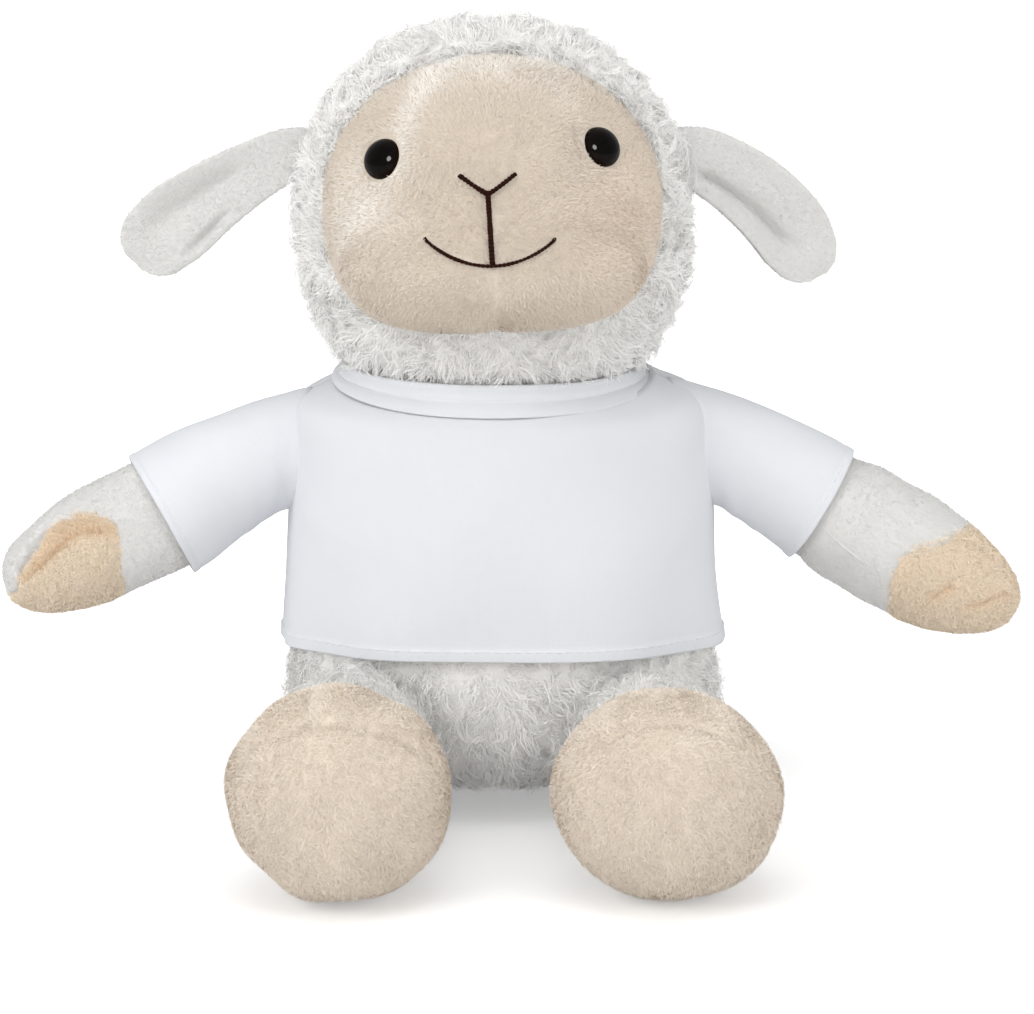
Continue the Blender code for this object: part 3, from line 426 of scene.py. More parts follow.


# Hairs: colour at the root, at the tip, in patches, and where they are marked with painted highlight or with
# painted shading and tint.
# Backing: two of those colours, size and share of its patches, size, strength and height of its
# nap, roughness and sheen.
finishes = {
    "wool": dict(
        root=(0.90, 0.89, 0.87), tip=(0.955, 0.95, 0.935), patch=(0.93, 0.92, 0.90),
        patchScale=90.0, patchShare=0.5, roughness=0.75, sheen=0.15,
        backing=("patch", "root", 400.0, 0.8, 1500.0, 0.4, 0.0003, 0.95, 0.1)),
    "plush": dict(
        root=(0.70, 0.61, 0.51), tip=(0.735, 0.66, 0.57), patch=(0.74, 0.655, 0.555),
        # marked colours: a painted highlight where the light falls, and painted warm light on the right cheek
        pale=(0.94, 0.91, 0.86), deep=(0.88, 0.76, 0.64),
        patchScale=110.0, patchShare=0.5, roughness=0.8, sheen=0.15,
        backing=("patch", "root", 500.0, 0.6, 2200.0, 0.5, 0.0003, 0.95, 0.1)),
    "foot": dict(
        root=(0.82, 0.725, 0.62), tip=(0.80, 0.715, 0.615), patch=(0.79, 0.695, 0.59),
        # marked colour: a painted highlight on the tops, which face the light from above
        pale=(0.91, 0.825, 0.72),
        patchScale=110.0, patchShare=0.5, roughness=0.8, sheen=0.15,
        backing=("patch", "root", 500.0, 0.6, 2200.0, 0.5, 0.0003, 0.95, 0.1)),
    "pad": dict(
        root=(0.95, 0.79, 0.60), tip=(0.97, 0.85, 0.69), patch=(0.96, 0.82, 0.63),
        # marked colours: a painted highlight along the lit upper edge, and painted shade in the creases with
        # a warmer strip above the left one
        pale=(0.94, 0.88, 0.78), deep=(0.88, 0.66, 0.43),
        patchScale=140.0, patchShare=0.6, roughness=0.8, sheen=0.35,
        backing=("patch", "root", 300.0, 0.6, 2200.0, 0.5, 0.0003, 0.95, 0.1)),
    "velour": dict(
        root=(0.735, 0.73, 0.715), tip=(0.735, 0.73, 0.715), patch=(0.70, 0.69, 0.675),
        patchScale=70.0, patchShare=0.4, roughness=0.7, sheen=0.2,
        backing=("root", "patch", 60.0, 0.7, 3000.0, 0.6, 0.0002, 0.85, 0.3)),
}
hair, cloth = {}, {}
for kind, look in finishes.items():
    hair[kind] = pileMaterial(f"{kind}Hair", look)
    base, spots, *nap = look["backing"]
    cloth[kind] = clothMaterial(f"{kind}Cloth", look[base], look[spots], *nap)
jersey = dict(
    colour=(0.73, 0.747, 0.78), patch=(0.72, 0.737, 0.77), dip=(0.66, 0.68, 0.71),
    loopWidth=0.00055, loopHeight=0.00042, slant=0.9, strength=0.3, height=0.00006,
    patchScale=45.0, patchShare=0.6, dipShade=0.2, roughness=0.85,
)
rib = dict(jersey, loopWidth=0.0007, slant=0.5, strength=0.25, height=0.00008, dipShade=0.25)
cloth["jersey"] = jerseyMaterial("jerseyCloth", jersey)
cloth["rib"] = jerseyMaterial("ribCloth", rib)
darkThread = threadMaterial("darkThread", (0.016, 0.004, 0.002), (0.032, 0.009, 0.005), 0.8)
whiteThread = threadMaterial("whiteThread", jersey["patch"], (0.80, 0.815, 0.85), 0.7)
# the rim colour, brown, is a painted reflection of the beige face round the eye
eyeGloss = glossMaterial("eyeGloss", (0.0012, 0.0010, 0.0010), (0.012, 0.006, 0.004), 0.06, 0.05)
washerPlastic = glossMaterial("washerPlastic", (0.75, 0.75, 0.73), (0.70, 0.70, 0.68), 0.45, 0.5)
print("stage: materials ready")


def dress(piece, body, material, nodes=()):
    # Material, body and the CAD nodes that a piece stands for.
    piece.data.materials.append(material)
    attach(piece, body)
    if nodes:
        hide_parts(*nodes)


# Torso

torso = dict(
    height=0.102, halfWidth=0.0523, halfDepth=0.0440, squareness=2.2,
    lean=0.0022, leanPower=6,    # how far the top and the head lie to the left
    # share of height, of half-width, of half-depth, and set-back as a share of half-depth
    rows=(
        (0.000, 0.680, 0.440, 0.250), (0.030, 0.850, 0.640, 0.225), (0.060, 0.920, 0.775, 0.160),
        (0.100, 0.965, 0.905, 0.075), (0.160, 0.993, 0.975, 0.025), (0.230, 1.000, 1.000, 0.000),
        (0.360, 0.995, 0.995, 0.000), (0.550, 0.970, 0.975, 0.000), (0.750, 0.945, 0.960, 0.000),
        (0.900, 0.920, 0.945, 0.000), (0.936, 0.895, 0.935, 0.000), (0.961, 0.835, 0.920, 0.000),
        (0.980, 0.765, 0.900, 0.000), (1.000, 0.690, 0.875, 0.000),
    ),
    gridRows=70, gridColumns=120,
    hem=0.0365, hemTilt=0.125,    # the shirt's hem: its height, and how much it falls towards the back
    underPile=(0.0006, 0.0008),    # how far the skin sinks under the wool, and how much more low down
    woolTop=0.0420,    # the skin sinks up to here
)


def torsoSizes(share):
    # Half-width, half-depth, set-back and lean to the left at a share of the height.
    width, depth, back = (torso[key] * throughRows(torso["rows"], share, column)
                          for column, key in ((1, "halfWidth"), (2, "halfDepth"), (3, "halfDepth")))
    return width, depth, back, -torso["lean"] * np.clip(share, 0, 1) ** torso["leanPower"]


def torsoPoints(heights, angles):
    # A squared ellipse at each height: size * cos(angle)^(2 / squareness), and the same with sin.
    width, depth, back, lean = torsoSizes(heights / torso["height"])
    across = signedPower(np.cos(angles), 2 / torso["squareness"])
    along = signedPower(np.sin(angles), 2 / torso["squareness"])
    return np.stack([lean + width * across, back + depth * along, heights + 0 * angles], axis=-1)


def torsoLayer(heights, angles, distance):
    # The torso's surface moved out by a distance along its normal, read from small steps.
    step, turn = torso["height"] / 400, 1.8 * degree
    above = torsoPoints(np.minimum(heights + step, torso["height"]), angles)
    below = torsoPoints(np.maximum(heights - step, 0), angles)
    around = torsoPoints(heights, angles + turn) - torsoPoints(heights, angles - turn)
    normals = unit(np.cross(around, above - below))
    return torsoPoints(heights, angles) + normals * np.asarray(distance)[..., None]


def underHem(places, hem=torso["hem"]):
    # Height of the shirt's hem above a place.
    return hem - torso["hemTilt"] * places[..., 1] - places[..., 2]


torsoMiddle = np.array((0.0, 0.0, 0.05))
share = np.linspace(0, 1, torso["gridRows"])
share = share - 0.10 * np.sin(fullTurn * share) / math.pi    # closer together at both ends
grid = torsoPoints(*np.meshgrid(share * torso["height"], allRound(torso["gridColumns"]), indexing="ij"))
under, low = torso["underPile"]
under = under + low * (1 - softStep(grid[..., 2], 0.004, 0.014))
under = under * softStep(underHem(grid, torso["woolTop"]), 0, 0.004)
grid = grid - under[..., None] * gridNormals(grid, True, torsoMiddle)
grid[..., 2] = np.maximum(grid[..., 2], 0)
bodyWool = skin("torsoWool", grid, first=True, last=True)
dress(bodyWool, "torso", cloth["wool"], ["torso_skin", "torso_stuffing"])

woolLook = dict(
    hairs=9, points=4, tuftRadius=0.0018, spread=0.9, rise=0.0015, arch=2.0, reach=0.0028, bend=1.3,
    curl=0.0006, turns=0.6, gather=0.25, width=0.00022, tilt=0.3, tuftTone=0.012, hairTone=0.02,
    floor=0.0003,
)
wispLook = dict(
    woolLook, points=5, tuftRadius=0.0014, spread=0.25, rise=0.0027, arch=1.9, reach=0.0050, bend=1.5,
    curl=0.0013, turns=0.9, gather=0.8, width=0.00017, tilt=0.4, tuftTone=0.035,
)


def woolCoat(name, body, grid, inside, keep, counts, wish, swirl, shorter=1.0, parts=1):
    # An undercoat of short soft hairs, and longer curled wisps over it.
    coats = ((woolLook, "Pile", counts[0], parts), (wispLook, "Wisps", counts[1], 1))
    for look, word, count, number in coats:
        found = scatter(grid, True, count, inside, keep)
        layPile(name + word, body, hair["wool"], look, found, wish, swirl, (0.75, 1.3), shorter,
                number)


def lowWool(places):
    # Shorter wool next to the hem and near the floor.
    nearHem = 0.35 + 0.65 * softStep(underHem(places), 0.0008, 0.0060)
    return nearHem * (0.55 + 0.45 * softStep(places[..., 2], 0.004, 0.016))


keep = np.where((underHem(grid) > 0.0008) & (grid[..., 2] > 0.0012), 1.0, 0.0)
woolCoat("torso", "torso", grid, torsoMiddle, keep, (2400, 1300), (0.0, 0.0, -1.0),
         (0.5, 1.3, 0.022, 21), lowWool, 2)
print("stage: torso and its wool")


# Head

head = dict(
    radius=0.0470, centre=np.array((-torso["lean"], 0.0, 0.1370)), crownRise=0.0038,
    roll=1.53 * degree, tilt=21.7 * degree,
    # the face's oval
    halfSpan=56.66 * degree, halfRise=41.22 * degree, squareUpper=2.227, squareLower=2.782,
    base=0.0030, rimPower=5.5, rimSoftness=0.883,
    muzzleSwell=0.0153, muzzleLow=-29.9 * degree, muzzleSpan=45.0 * degree, muzzleRise=18.2 * degree,
    bridgeSwell=0.0036, bridgeLow=3.0 * degree, bridgeSpan=23.0 * degree, bridgeRise=25.0 * degree,
    socketDepth=0.0014, socketWidth=8.5 * degree,
    cleft=0.0016,    # dip where the cheeks meet at the chin
    gridRows=90, gridColumns=132,
    underFace=0.0016, underPile=0.0007,    # how far the skin sinks under the face and the wool
    crown={-1: 0.0022, 1: 0.0017},    # fuller wool at the crown's left and right
)
# how far aside and above each eye lies
eyeAngles = {-1: (-30.1 * degree, 9.5 * degree), 1: (30.93 * degree, 11.54 * degree)}
ahead = np.array((0.0, -math.cos(head["tilt"]), math.sin(head["tilt"])))
upright = np.array((0.0, math.sin(head["tilt"]), math.cos(head["tilt"])))
level = np.array((1.0, 0.0, 0.0))
acrossFace = level * math.cos(head["roll"]) + upright * math.sin(head["roll"])
upFace = upright * math.cos(head["roll"]) - level * math.sin(head["roll"])


def faceDirection(aside, above):
    # Direction at two angles from the face's middle, laid out as on a map:
    # cos(turn) * ahead + sin(turn) / turn * (aside * across + above * up).
    turn = np.hypot(aside, above)
    scale = np.sinc(turn / math.pi)[..., None]
    sideways = aside[..., None] * acrossFace + above[..., None] * upFace
    return np.cos(turn)[..., None] * ahead + scale * sideways


def ovalPower(above):
    # The face's outline is squarer below than above.
    return np.where(above > 0, head["squareUpper"], head["squareLower"])


def ovalShare(aside, above):
    # 0 in the face's middle, 1 on its squared oval rim.
    power = ovalPower(above)
    share = np.abs(aside / head["halfSpan"]) ** power + np.abs(above / head["halfRise"]) ** power
    return share ** (1 / power)


def headPoints(aside, above, lift=0.0):
    # Centre + distance * direction, where the distance is a ball, higher at the crown, plus
    # the face's base, the muzzle and the bridge less the eye sockets, faded out at the rim.
    direction = faceDirection(aside, above)
    ball = head["radius"] + head["crownRise"] * np.clip(direction[..., 2], 0, 1) ** 2
    edge = np.clip(1 - ovalShare(aside, above) ** head["rimPower"], 0, 1) ** head["rimSoftness"]
    muzzle = hump(aside, 0.0, head["muzzleSpan"], 4.86)
    muzzle = muzzle * hump(above, head["muzzleLow"], head["muzzleRise"], 2.78)
    bridge = hump(aside, 0.0, head["bridgeSpan"], 4.0)
    bridge = bridge * hump(above, head["bridgeLow"], head["bridgeRise"], 2.0)
    swell = head["base"] + head["muzzleSwell"] * muzzle + head["bridgeSwell"] * bridge
    for across, up in eyeAngles.values():
        away = np.hypot(aside - across, above - up)
        swell = swell - head["socketDepth"] * bell(away, 0.0, head["socketWidth"])
    cleft = head["cleft"] * bell(aside, 0.0, 4.5 * degree)
    swell = swell - cleft * softStep(-above, 25 * degree, 37 * degree)
    return head["centre"] + (ball + edge * swell + lift)[..., None] * direction


def faceRim(bearing):
    # Angle from the face's middle to its rim, in the direction of a bearing.
    return 1 / ovalShare(np.cos(bearing), np.sin(bearing))


bearing = allRound(head["gridColumns"])
turn = np.linspace(0, 1, head["gridRows"])[1:-1, None] * math.pi
outside = turn / faceRim(bearing)[None]    # 1 on the face's rim
aside, above = turn * np.cos(bearing), turn * np.sin(bearing)
sunk = -head["underFace"] * (1 - softStep(outside, 0.93, 1.0))
sunk = sunk - head["underPile"] * softStep(outside, 1.0, 1.1)
way = faceDirection(aside, above)
slope = np.arctan2(np.abs(way[..., 0]), way[..., 2])
crown = np.where(way[..., 0] < 0, head["crown"][-1], head["crown"][1])
crown = crown * np.clip(np.sin(2 * slope), 0, 1) * np.hypot(way[..., 0], way[..., 2])
sunk = sunk + crown * softStep(outside, 0.99, 1.12)
grid = headPoints(aside, above, sunk)
front = head["centre"] + ahead * (np.linalg.norm(grid[0].mean(axis=0) - head["centre"]))
hood = skin("headWool", grid, first=front, last=True)
dress(hood, "head", cloth["wool"], ["head_wool", "head_stuffing"])


def nearFace(places):
    # 0 at the face's rim, 1 from 10 degrees outside it, and the sine of the bearing.
    way = unit(places - head["centre"])
    turn = np.arccos(np.clip(way @ ahead, -1, 1))
    bearing = np.arctan2(way @ upFace, way @ acrossFace)
    return softStep(turn - faceRim(bearing), 0.0, 10 * degree), np.sin(bearing)


def rimSize(places):
    # Shorter wool beside the face, most of all below it.
    away, up = nearFace(places)
    least = 0.45 + 0.35 * softStep(up, -0.2, 0.8)
    return least + (1 - least) * away


def combed(places):
    # Wool is combed away from the face's front, but beside its upper rim it leans over the face.
    away, up = nearFace(places)
    share = (1 - away) * softStep(up, 0.0, 0.7)
    return places - head["centre"] - 0.05 * ahead + 4.5 * share[:, None] * (front - places)


keep = np.where(outside > 0.995, 1.0, 0.0) * np.where(unit(grid - head["centre"])[..., 2] > -0.80, 1.0, 0.0)
keep = keep * (1 + 1.6 * bell(outside, 1.02, 0.05))    # denser along the rim
woolCoat("head", "head", grid, head["centre"], keep, (4600, 2600), combed, (0.5, 1.2, 0.020, 31), rimSize, 2)
print("stage: head and its wool")


# Face: a gusset and two cheeks

face = dict(
    gussetTip=-15.0 * degree, gussetHalf=24.0 * degree,
    # share of the way from the tip to the upper rim, share of the half-angle
    gussetRows=((0.00, 0.04), (0.10, 0.30), (0.25, 0.84), (0.38, 1.00), (0.60, 0.88), (0.80, 0.66),
                (1.00, 0.50), (1.12, 0.45)),
    seamDepth=0.0003, seamWidth=1.4 * degree, overlap=0.7 * degree, hairs=60000,
)


def gussetEdge(above):
    # Half-angle of the gusset at a height on the face.
    share = (above - face["gussetTip"]) / (head["halfRise"] - face["gussetTip"])
    return np.where(share < 0, 0.0, face["gussetHalf"] * throughRows(face["gussetRows"], share))


def rimAside(above):
    # Half-width of the face's oval at a height.
    power = ovalPower(above)
    return head["halfSpan"] * np.clip(1 - np.abs(above / head["halfRise"]) ** power, 0, 1) ** (1 / power)


def seamDip(distance):
    # A groove that is deepest at the seam: -depth * exp(-(distance / width)^2).
    return -face["seamDepth"] * bell(distance, 0.0, face["seamWidth"])


def facePatch(name, low, high, inner, outer, rows, columns, node):
    # Rows from low to high; each row runs from the inner to the outer edge, and the edges dip.
    above = np.linspace(low, high, rows)[:, None]
    share = np.linspace(0, 1, columns)[None]
    aside = inner(above) * (1 - share) + outer(above) * share
    dip = seamDip(aside - inner(above)) + seamDip(aside - outer(above))
    dip = dip - 0.0010 * softStep(ovalShare(aside, above), 0.97, 1.01) - 0.0003
    piece = skin(name, headPoints(aside, above + 0 * aside, dip), closed=False, inside=head["centre"])
    dress(piece, "head", cloth["plush"], [node])


over = face["overlap"]
facePatch("faceGusset", face["gussetTip"] - over, head["halfRise"] * 0.985,
          lambda a: -gussetEdge(a) - over, lambda a: gussetEdge(a) + over, 90, 56, "face_gusset")
for side, word in sides:
    facePatch(f"{word}Cheek", -head["halfRise"], head["halfRise"],
              lambda a: side * (np.minimum(gussetEdge(a), rimAside(a)) - over),
              lambda a: side * np.maximum(rimAside(a), np.minimum(gussetEdge(a), rimAside(a)) - over),
              110, 70, f"{word}_cheek")

eyes = dict(radius=0.0049, bulge=0.0034, rim=0.0005, sink=0.0006, shankRadius=0.0015, shankLength=0.0105)
stitch = dict(
    radius=0.00058, mouthRadius=0.00040, lift=0.0003, twist=0.0019,    # twist: one turn of the plies
    noseAside=-0.9 * degree, noseLow=-4.6 * degree, noseHalf=6.9 * degree, noseRise=5.1 * degree,
    stemLow=-20.2 * degree, stemAside=-0.2 * degree,
    mouthAside=-0.8 * degree, mouthHalf=14.4 * degree, mouthTilt=-0.45 * degree, mouthRise=5.7 * degree,
)
share, wide = np.linspace(-1, 1, 60), np.linspace(-1, 1, 120)
# piece, the two angles along its line, places along it, radius, CAD node
threads = (
    ("noseThread", (stitch["noseAside"] + stitch["noseHalf"] * share,
                    stitch["noseLow"] + stitch["noseRise"] * np.abs(share) ** 1.15),
     90, stitch["radius"], "nose_stitch"),
    ("lipThread", (np.linspace(stitch["noseAside"], stitch["stemAside"], 60),
                   np.linspace(stitch["noseLow"], stitch["stemLow"], 60)),
     120, stitch["radius"], "philtrum_stitch"),
    ("mouthThread", (stitch["mouthAside"] + stitch["mouthHalf"] * wide,
                     stitch["stemLow"] + stitch["mouthRise"] * wide ** 2 + stitch["mouthTilt"] * wide),
     260, stitch["mouthRadius"], "mouth_stitch"),
)


def eyePlace(side):
    # Surface point at the eye's two angles, and the direction that it looks.
    aside, above = (np.array(angle) for angle in eyeAngles[side])
    return headPoints(aside, above), unit(faceDirection(aside, above))


# Short pile of the face, combed away from the nose, with none under the eyes and the thread
above = np.linspace(-head["halfRise"], head["halfRise"], 120)[:, None]
aside = rimAside(above) * np.linspace(-1, 1, 160)[None]
dip = seamDip(np.abs(aside) - gussetEdge(above)) * np.where(above < face["gussetTip"], 2.4, 1.0)
grid = headPoints(aside, above + 0 * aside, dip)
clear = np.ones(grid.shape[:2])
for side, word in sides:
    spot, axis = eyePlace(side)
    clear = clear * np.where(np.linalg.norm(grid - spot, axis=-1) < eyes["radius"] + 0.0010, 0.0, 1.0)
for name, path, count, radius, node in threads:
    line = headPoints(*path)
    near = np.linalg.norm(grid[:, :, None] - line[None, None, ::3], axis=-1).min(axis=-1)
    clear = clear * np.where(near < radius * 1.5 + 0.0003, 0.0, 1.0)
# sparse along the seam below the mouth
clear = clear * np.where(above < stitch["stemLow"], 1 - 0.8 * bell(aside, 0.0, 0.4 * degree), 1.0)
plushLook = dict(
    hairs=3, points=3, tuftRadius=0.0006, spread=0.5, rise=0.0006, arch=2.1, reach=0.0009, bend=1.2,
    curl=0.0002, turns=0.6, gather=0.3, width=0.00015, tilt=0.25, tuftTone=0.025, hairTone=0.035,
    floor=0.0003,
)
# painted highlight: paler where the light from the upper left falls on the left cheek, the brow and
# along the gusset's upper seams; painted light, warmer, on the right cheek, which turns away from the lamps
pale = bell(aside, -35 * degree, 13 * degree) * bell(above, -3 * degree, 16 * degree)
pale = pale + 0.8 * bell(aside, 0, 25 * degree) * bell(above, 34 * degree, 9 * degree)
seamHighlightShare = np.where(aside < 0, 0.75, 0.35) * softStep(above, -4 * degree, 6 * degree)
pale = np.clip(pale + seamHighlightShare * bell(np.abs(aside), gussetEdge(above), 5 * degree), 0, 1)
warmPaintedLight = 0.75 * bell(aside, 38 * degree, 20 * degree) * bell(above, -8 * degree, 26 * degree)
*found, pale, warmPaintedLight = scatter(grid, False, face["hairs"] // 3, head["centre"], clear, [pale, warmPaintedLight])
nose = headPoints(np.array(0.0), np.array(0.0))
layPile("facePile", "head", hair["plush"], plushLook, found,
        lambda places: places - nose - 0.01 * upFace, (0.35, 0.9, 0.016, 41), (0.7, 1.3), 1.0, 2,
        {"pale": pale, "deep": warmPaintedLight})
print("stage: face")


def turned(base, axis, profile, columns):
    # Profile rows of radius and height, turned about an axis through base.
    side = unit(np.cross(axis, (0.0, 0.0, 1.0)))
    turn = allRound(columns)[:, None]
    ring = np.cos(turn) * side + np.sin(turn) * np.cross(axis, side)
    profile = np.asarray(profile, float)
    return base + profile[:, 0, None, None] * ring + profile[:, 1, None, None] * axis


for side, word in sides:
    spot, axis = eyePlace(side)
    base = spot - eyes["sink"] * axis
    dome = np.linspace(0, 88, 26) * degree
    profile = [(eyes["shankRadius"], -eyes["shankLength"]), (eyes["shankRadius"], 0.0)]
    profile += [(eyes["radius"] * 0.9, 0.0), (eyes["radius"] * 0.985, eyes["rim"] * 0.2)]
    profile += list(zip(eyes["radius"] * np.cos(dome), eyes["rim"] + eyes["bulge"] * np.sin(dome)))
    # share of the rim colour, a painted reflection, from the base up to the top of the dome
    paintedReflectionShare = np.concatenate([np.ones(4), (1 - dome / (0.5 * math.pi)) ** 3])[:, None] * np.ones(48)
    eye = skin(f"{word}Eye", turned(base, axis, profile, 48), first=base - axis * eyes["shankLength"],
               last=base + axis * (eyes["rim"] + eyes["bulge"]), values={"rim": paintedReflectionShare})
    dress(eye, "head", eyeGloss, [f"{word}_eye"])
    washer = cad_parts[f"{word}_eye_washer"]
    washer.data.materials.clear()
    washer.data.materials.append(washerPlastic)


def thread(name, path, count, radius, node):
    # Two plies wound round the path: centre + half radius * a turning circle, each ply a tube.
    old, ends = np.linspace(0, 1, len(path[0])), np.linspace(0, 1, count)
    path = [np.interp(ends, old, angles) for angles in path]
    centre = headPoints(*path, stitch["lift"] + radius * 0.6)
    sink = radius * 2.2 * (bell(ends, 0, 0.02) + bell(ends, 1, 0.02))
    outward = unit(centre - head["centre"])
    centre = centre - outward * sink[:, None]
    side = unit(np.cross(unit(np.gradient(centre, axis=0)), outward))
    uneven = 1 + 0.10 * waves(centre, 0.004, 51)
    for ply in range(2):
        spin = (fullTurn * runAlong(centre) / stitch["twist"] + ply * math.pi)[:, None]
        line = centre + 0.5 * radius * uneven[:, None] * (np.cos(spin) * side + np.sin(spin) * outward)
        tube = carried(line, 0.62 * radius * uneven, 8, up=(0.0, -0.4, 1.0))
        dress(skin(f"{name}Ply{ply + 1}", tube, first=True, last=True), "head", darkThread,
              [node])


for row in threads:
    thread(*row)
print("stage: eyes and embroidery")


# Neck

neck = dict(radius=0.0475, thickness=0.0016, reach=42 * degree)
bearing = allRound(72)
turn = np.linspace(0.06, 1, 12)[:, None] * neck["reach"]
outer = np.stack([np.sin(turn) * np.cos(bearing), np.sin(turn) * np.sin(bearing),
                  -np.cos(turn) + 0 * bearing], axis=-1)
high = head["centre"] + outer[::-1] * neck["radius"]
low = head["centre"] + outer * (neck["radius"] + neck["thickness"])
neckRoll = skin("neckRoll", np.concatenate([low, high]), first=True, last=True,
                inside=head["centre"] - (0, 0, neck["radius"] + neck["thickness"] / 2))
dress(neckRoll, "neck", cloth["wool"], ["neck_stuffing"])


# Ears

ears = dict(
    length={-1: 0.0510, 1: 0.0478}, halfWidth=0.0098, thickness=0.0030, edge=0.0005, gap=0.0003,
    cup=0.0024, rootRadius=0.0022, seat=0.0486, elevation={-1: 23.4 * degree, 1: 22.0 * degree},
    seamTilt=18 * degree, droop={-1: (23 * degree, 45 * degree), 1: (20 * degree, 64 * degree)},
    sweep={-1: 4 * degree, 1: 17 * degree},
    # share of the length, half-width of the left and of the right ear, thickness
    rows=(
        (0.00, 0.62, 0.74, 1.00), (0.20, 0.70, 0.84, 0.80), (0.50, 0.88, 0.96, 1.00),
        (0.72, 1.00, 1.00, 0.95), (0.88, 0.92, 0.86, 0.80), (0.97, 0.62, 0.54, 0.55),
        (1.00, 0.28, 0.24, 0.35),
    ),
    # folds: across at the root and at the tip, half-width, where it begins and ends, depth
    folds={
        -1: ((0.15, 0.30, 0.30, 0.25, 0.95, 0.0014), (-0.45, -0.80, 0.10, 0.40, 0.86, 0.0017)),
        1: ((-0.44, -0.10, 0.30, 0.02, 0.90, 0.0012), (-0.44, -0.14, 0.11, 0.02, 0.84, 0.0022)),
    },
    hairs=9000,
)
velourLook = dict(
    plushLook, spread=0.6, rise=0.00035, arch=1.9, reach=0.0006, turns=0.5, gather=0.2, width=0.00009,
    tilt=0.3, tuftTone=0.008, hairTone=0.008,
)


def earFrame(side):
    # Root, the seam that the ear turns on, its outward and its forward direction.
    high, tilt, sweep = ears["elevation"][side], ears["seamTilt"], ears["sweep"][side]
    radial = np.array((side * math.cos(high), 0.0, math.sin(high)))
    seam = np.array((-side * math.sin(tilt), 0.0, math.cos(tilt)))
    out = np.array((side * math.cos(tilt), 0.0, math.sin(tilt)))
    out = out * math.cos(sweep) + np.array((0.0, math.sin(sweep), 0.0))
    front = unit(np.cross(seam, out))
    return head["centre"] + ears["seat"] * radial, seam, out, front if front[1] < 0 else -front


def earLayer(side, face, shares, turns):
    # A leaf that walks out from its seam and droops: each step goes cos(angle) * out - sin(angle)
    # * seam. Across it lies half-width * cos(turn), and the layer is thick by a root of sin(turn).
    root, seam, out, front = earFrame(side)
    begin, end = ears["droop"][side]
    fine = np.linspace(0, 1, 97)
    angle = (begin + ears["seamTilt"]) * throughRows(((0, 0.4), (0.2, 1), (1, 1)), fine)
    angle = angle + (end - begin) * fine
    steps = np.cos(angle)[:, None] * out - np.sin(angle)[:, None] * seam
    walk = np.concatenate([[np.zeros(3)], np.cumsum((steps[1:] + steps[:-1]) / 2, axis=0)])
    walk = walk * ears["length"][side] / (len(fine) - 1)
    angle = np.interp(shares, fine, angle)[:, None]
    across = np.cos(turns)[None]
    half = ears["halfWidth"] * throughRows(ears["rows"], shares, 1 if side < 0 else 2)
    full = ears["thickness"] * throughRows(ears["rows"], shares, 3) * softStep(shares, -0.2, 0.15)
    thick = np.clip(np.sin(turns), 0, 1)[None] ** 0.6 * (full / 2 + ears["edge"])[:, None]
    cup = ears["cup"] * np.sin(math.pi * np.clip(shares, 0, 0.9) / 1.1)[:, None] * (across ** 2 - 0.5)
    fold = 0.0
    for first, last, width, low, high, depth in ears["folds"][side]:
        line = first + (last - first) * shares[:, None]
        along = softStep(shares, low, low + 0.2) * (1 - softStep(shares, high - 0.2, high))
        fold = fold - depth * bell(across, line, width) * along[:, None]
    wide = np.cos(angle) * seam + np.sin(angle) * out
    points = root + readAt(shares, fine, walk)[:, None] + (half[:, None] * across)[..., None] * wide[:, None]
    shift = cup + fold + face * (ears["gap"] / 2 + thick)
    shift = shift + 0.00035 * waves(points, 0.014, 61 + face)
    return points + shift[..., None] * front


for side, word in sides:
    root, seam, out, front = earFrame(side)
    shares = 1 - (1 - np.linspace(0, 1, 60)) ** 1.4
    turns = allRound(96)
    for facing, label in ((1, "Front"), (-1, "Back")):
        grid = earLayer(side, facing, shares, turns)
        begin = grid[0].mean(axis=0) - out * ears["rootRadius"] * 0.6
        layer = skin(f"{word}Ear{label}", grid, first=begin, last=True)
        dress(layer, f"{word}_ear", cloth["velour"], [f"{word}_ear_{label.lower()}"])
        keep = np.where(np.sin(turns)[None] > -0.15, 1.0, 0.0) + 0 * shares[:, None]
        found = scatter(grid, True, ears["hairs"] // 3, grid.reshape(-1, 3).mean(axis=0), keep)
        layPile(f"{word}EarFuzz{label}", f"{word}_ear", hair["velour"], velourLook, found,
                out - 0.6 * seam, (0.7,))
print("stage: ears")


# Limbs

def limbAxes(direction):
    # Along the limb, upward across it, and forward across it.
    out = unit(np.asarray(direction, float))
    over = unit(np.array((0.0, 0.0, 1.0)) - out[2] * out)
    front = np.cross(out, over)
    return out, over, front if front[1] < 0 else -front


def limbPoints(limb, shares, turns, lift=0.0):
    # Below a share of 0 a ball round the root, above it a tube whose radius follows the rows and
    # whose middle follows the bend: centre + along * out + bend * over
    # + radius * (cos(turn) * over + flat * sin(turn) * front).
    out, over, front = limb["axes"]
    ball = np.clip(-shares, 0, 1) * math.pi / 2
    along = np.where(shares < 0, -limb["radius"] * np.sin(ball), limb["length"] * shares)
    tube = throughRows(limb["rows"], np.clip(shares, 0, 1))
    radius = limb["radius"] * np.where(shares < 0, np.cos(ball), tube) + lift
    flat = 1 - (1 - limb["flatness"]) * np.clip(2 * shares, 0, 1)
    ring = (radius * np.cos(turns))[..., None] * over + (radius * flat * np.sin(turns))[..., None] * front
    if "bend" in limb:
        ring = ring + throughRows(limb["bend"], np.clip(shares, 0, 1))[..., None] * over
    return limb["centre"] + along[..., None] * out + ring


# Arms and hand pads

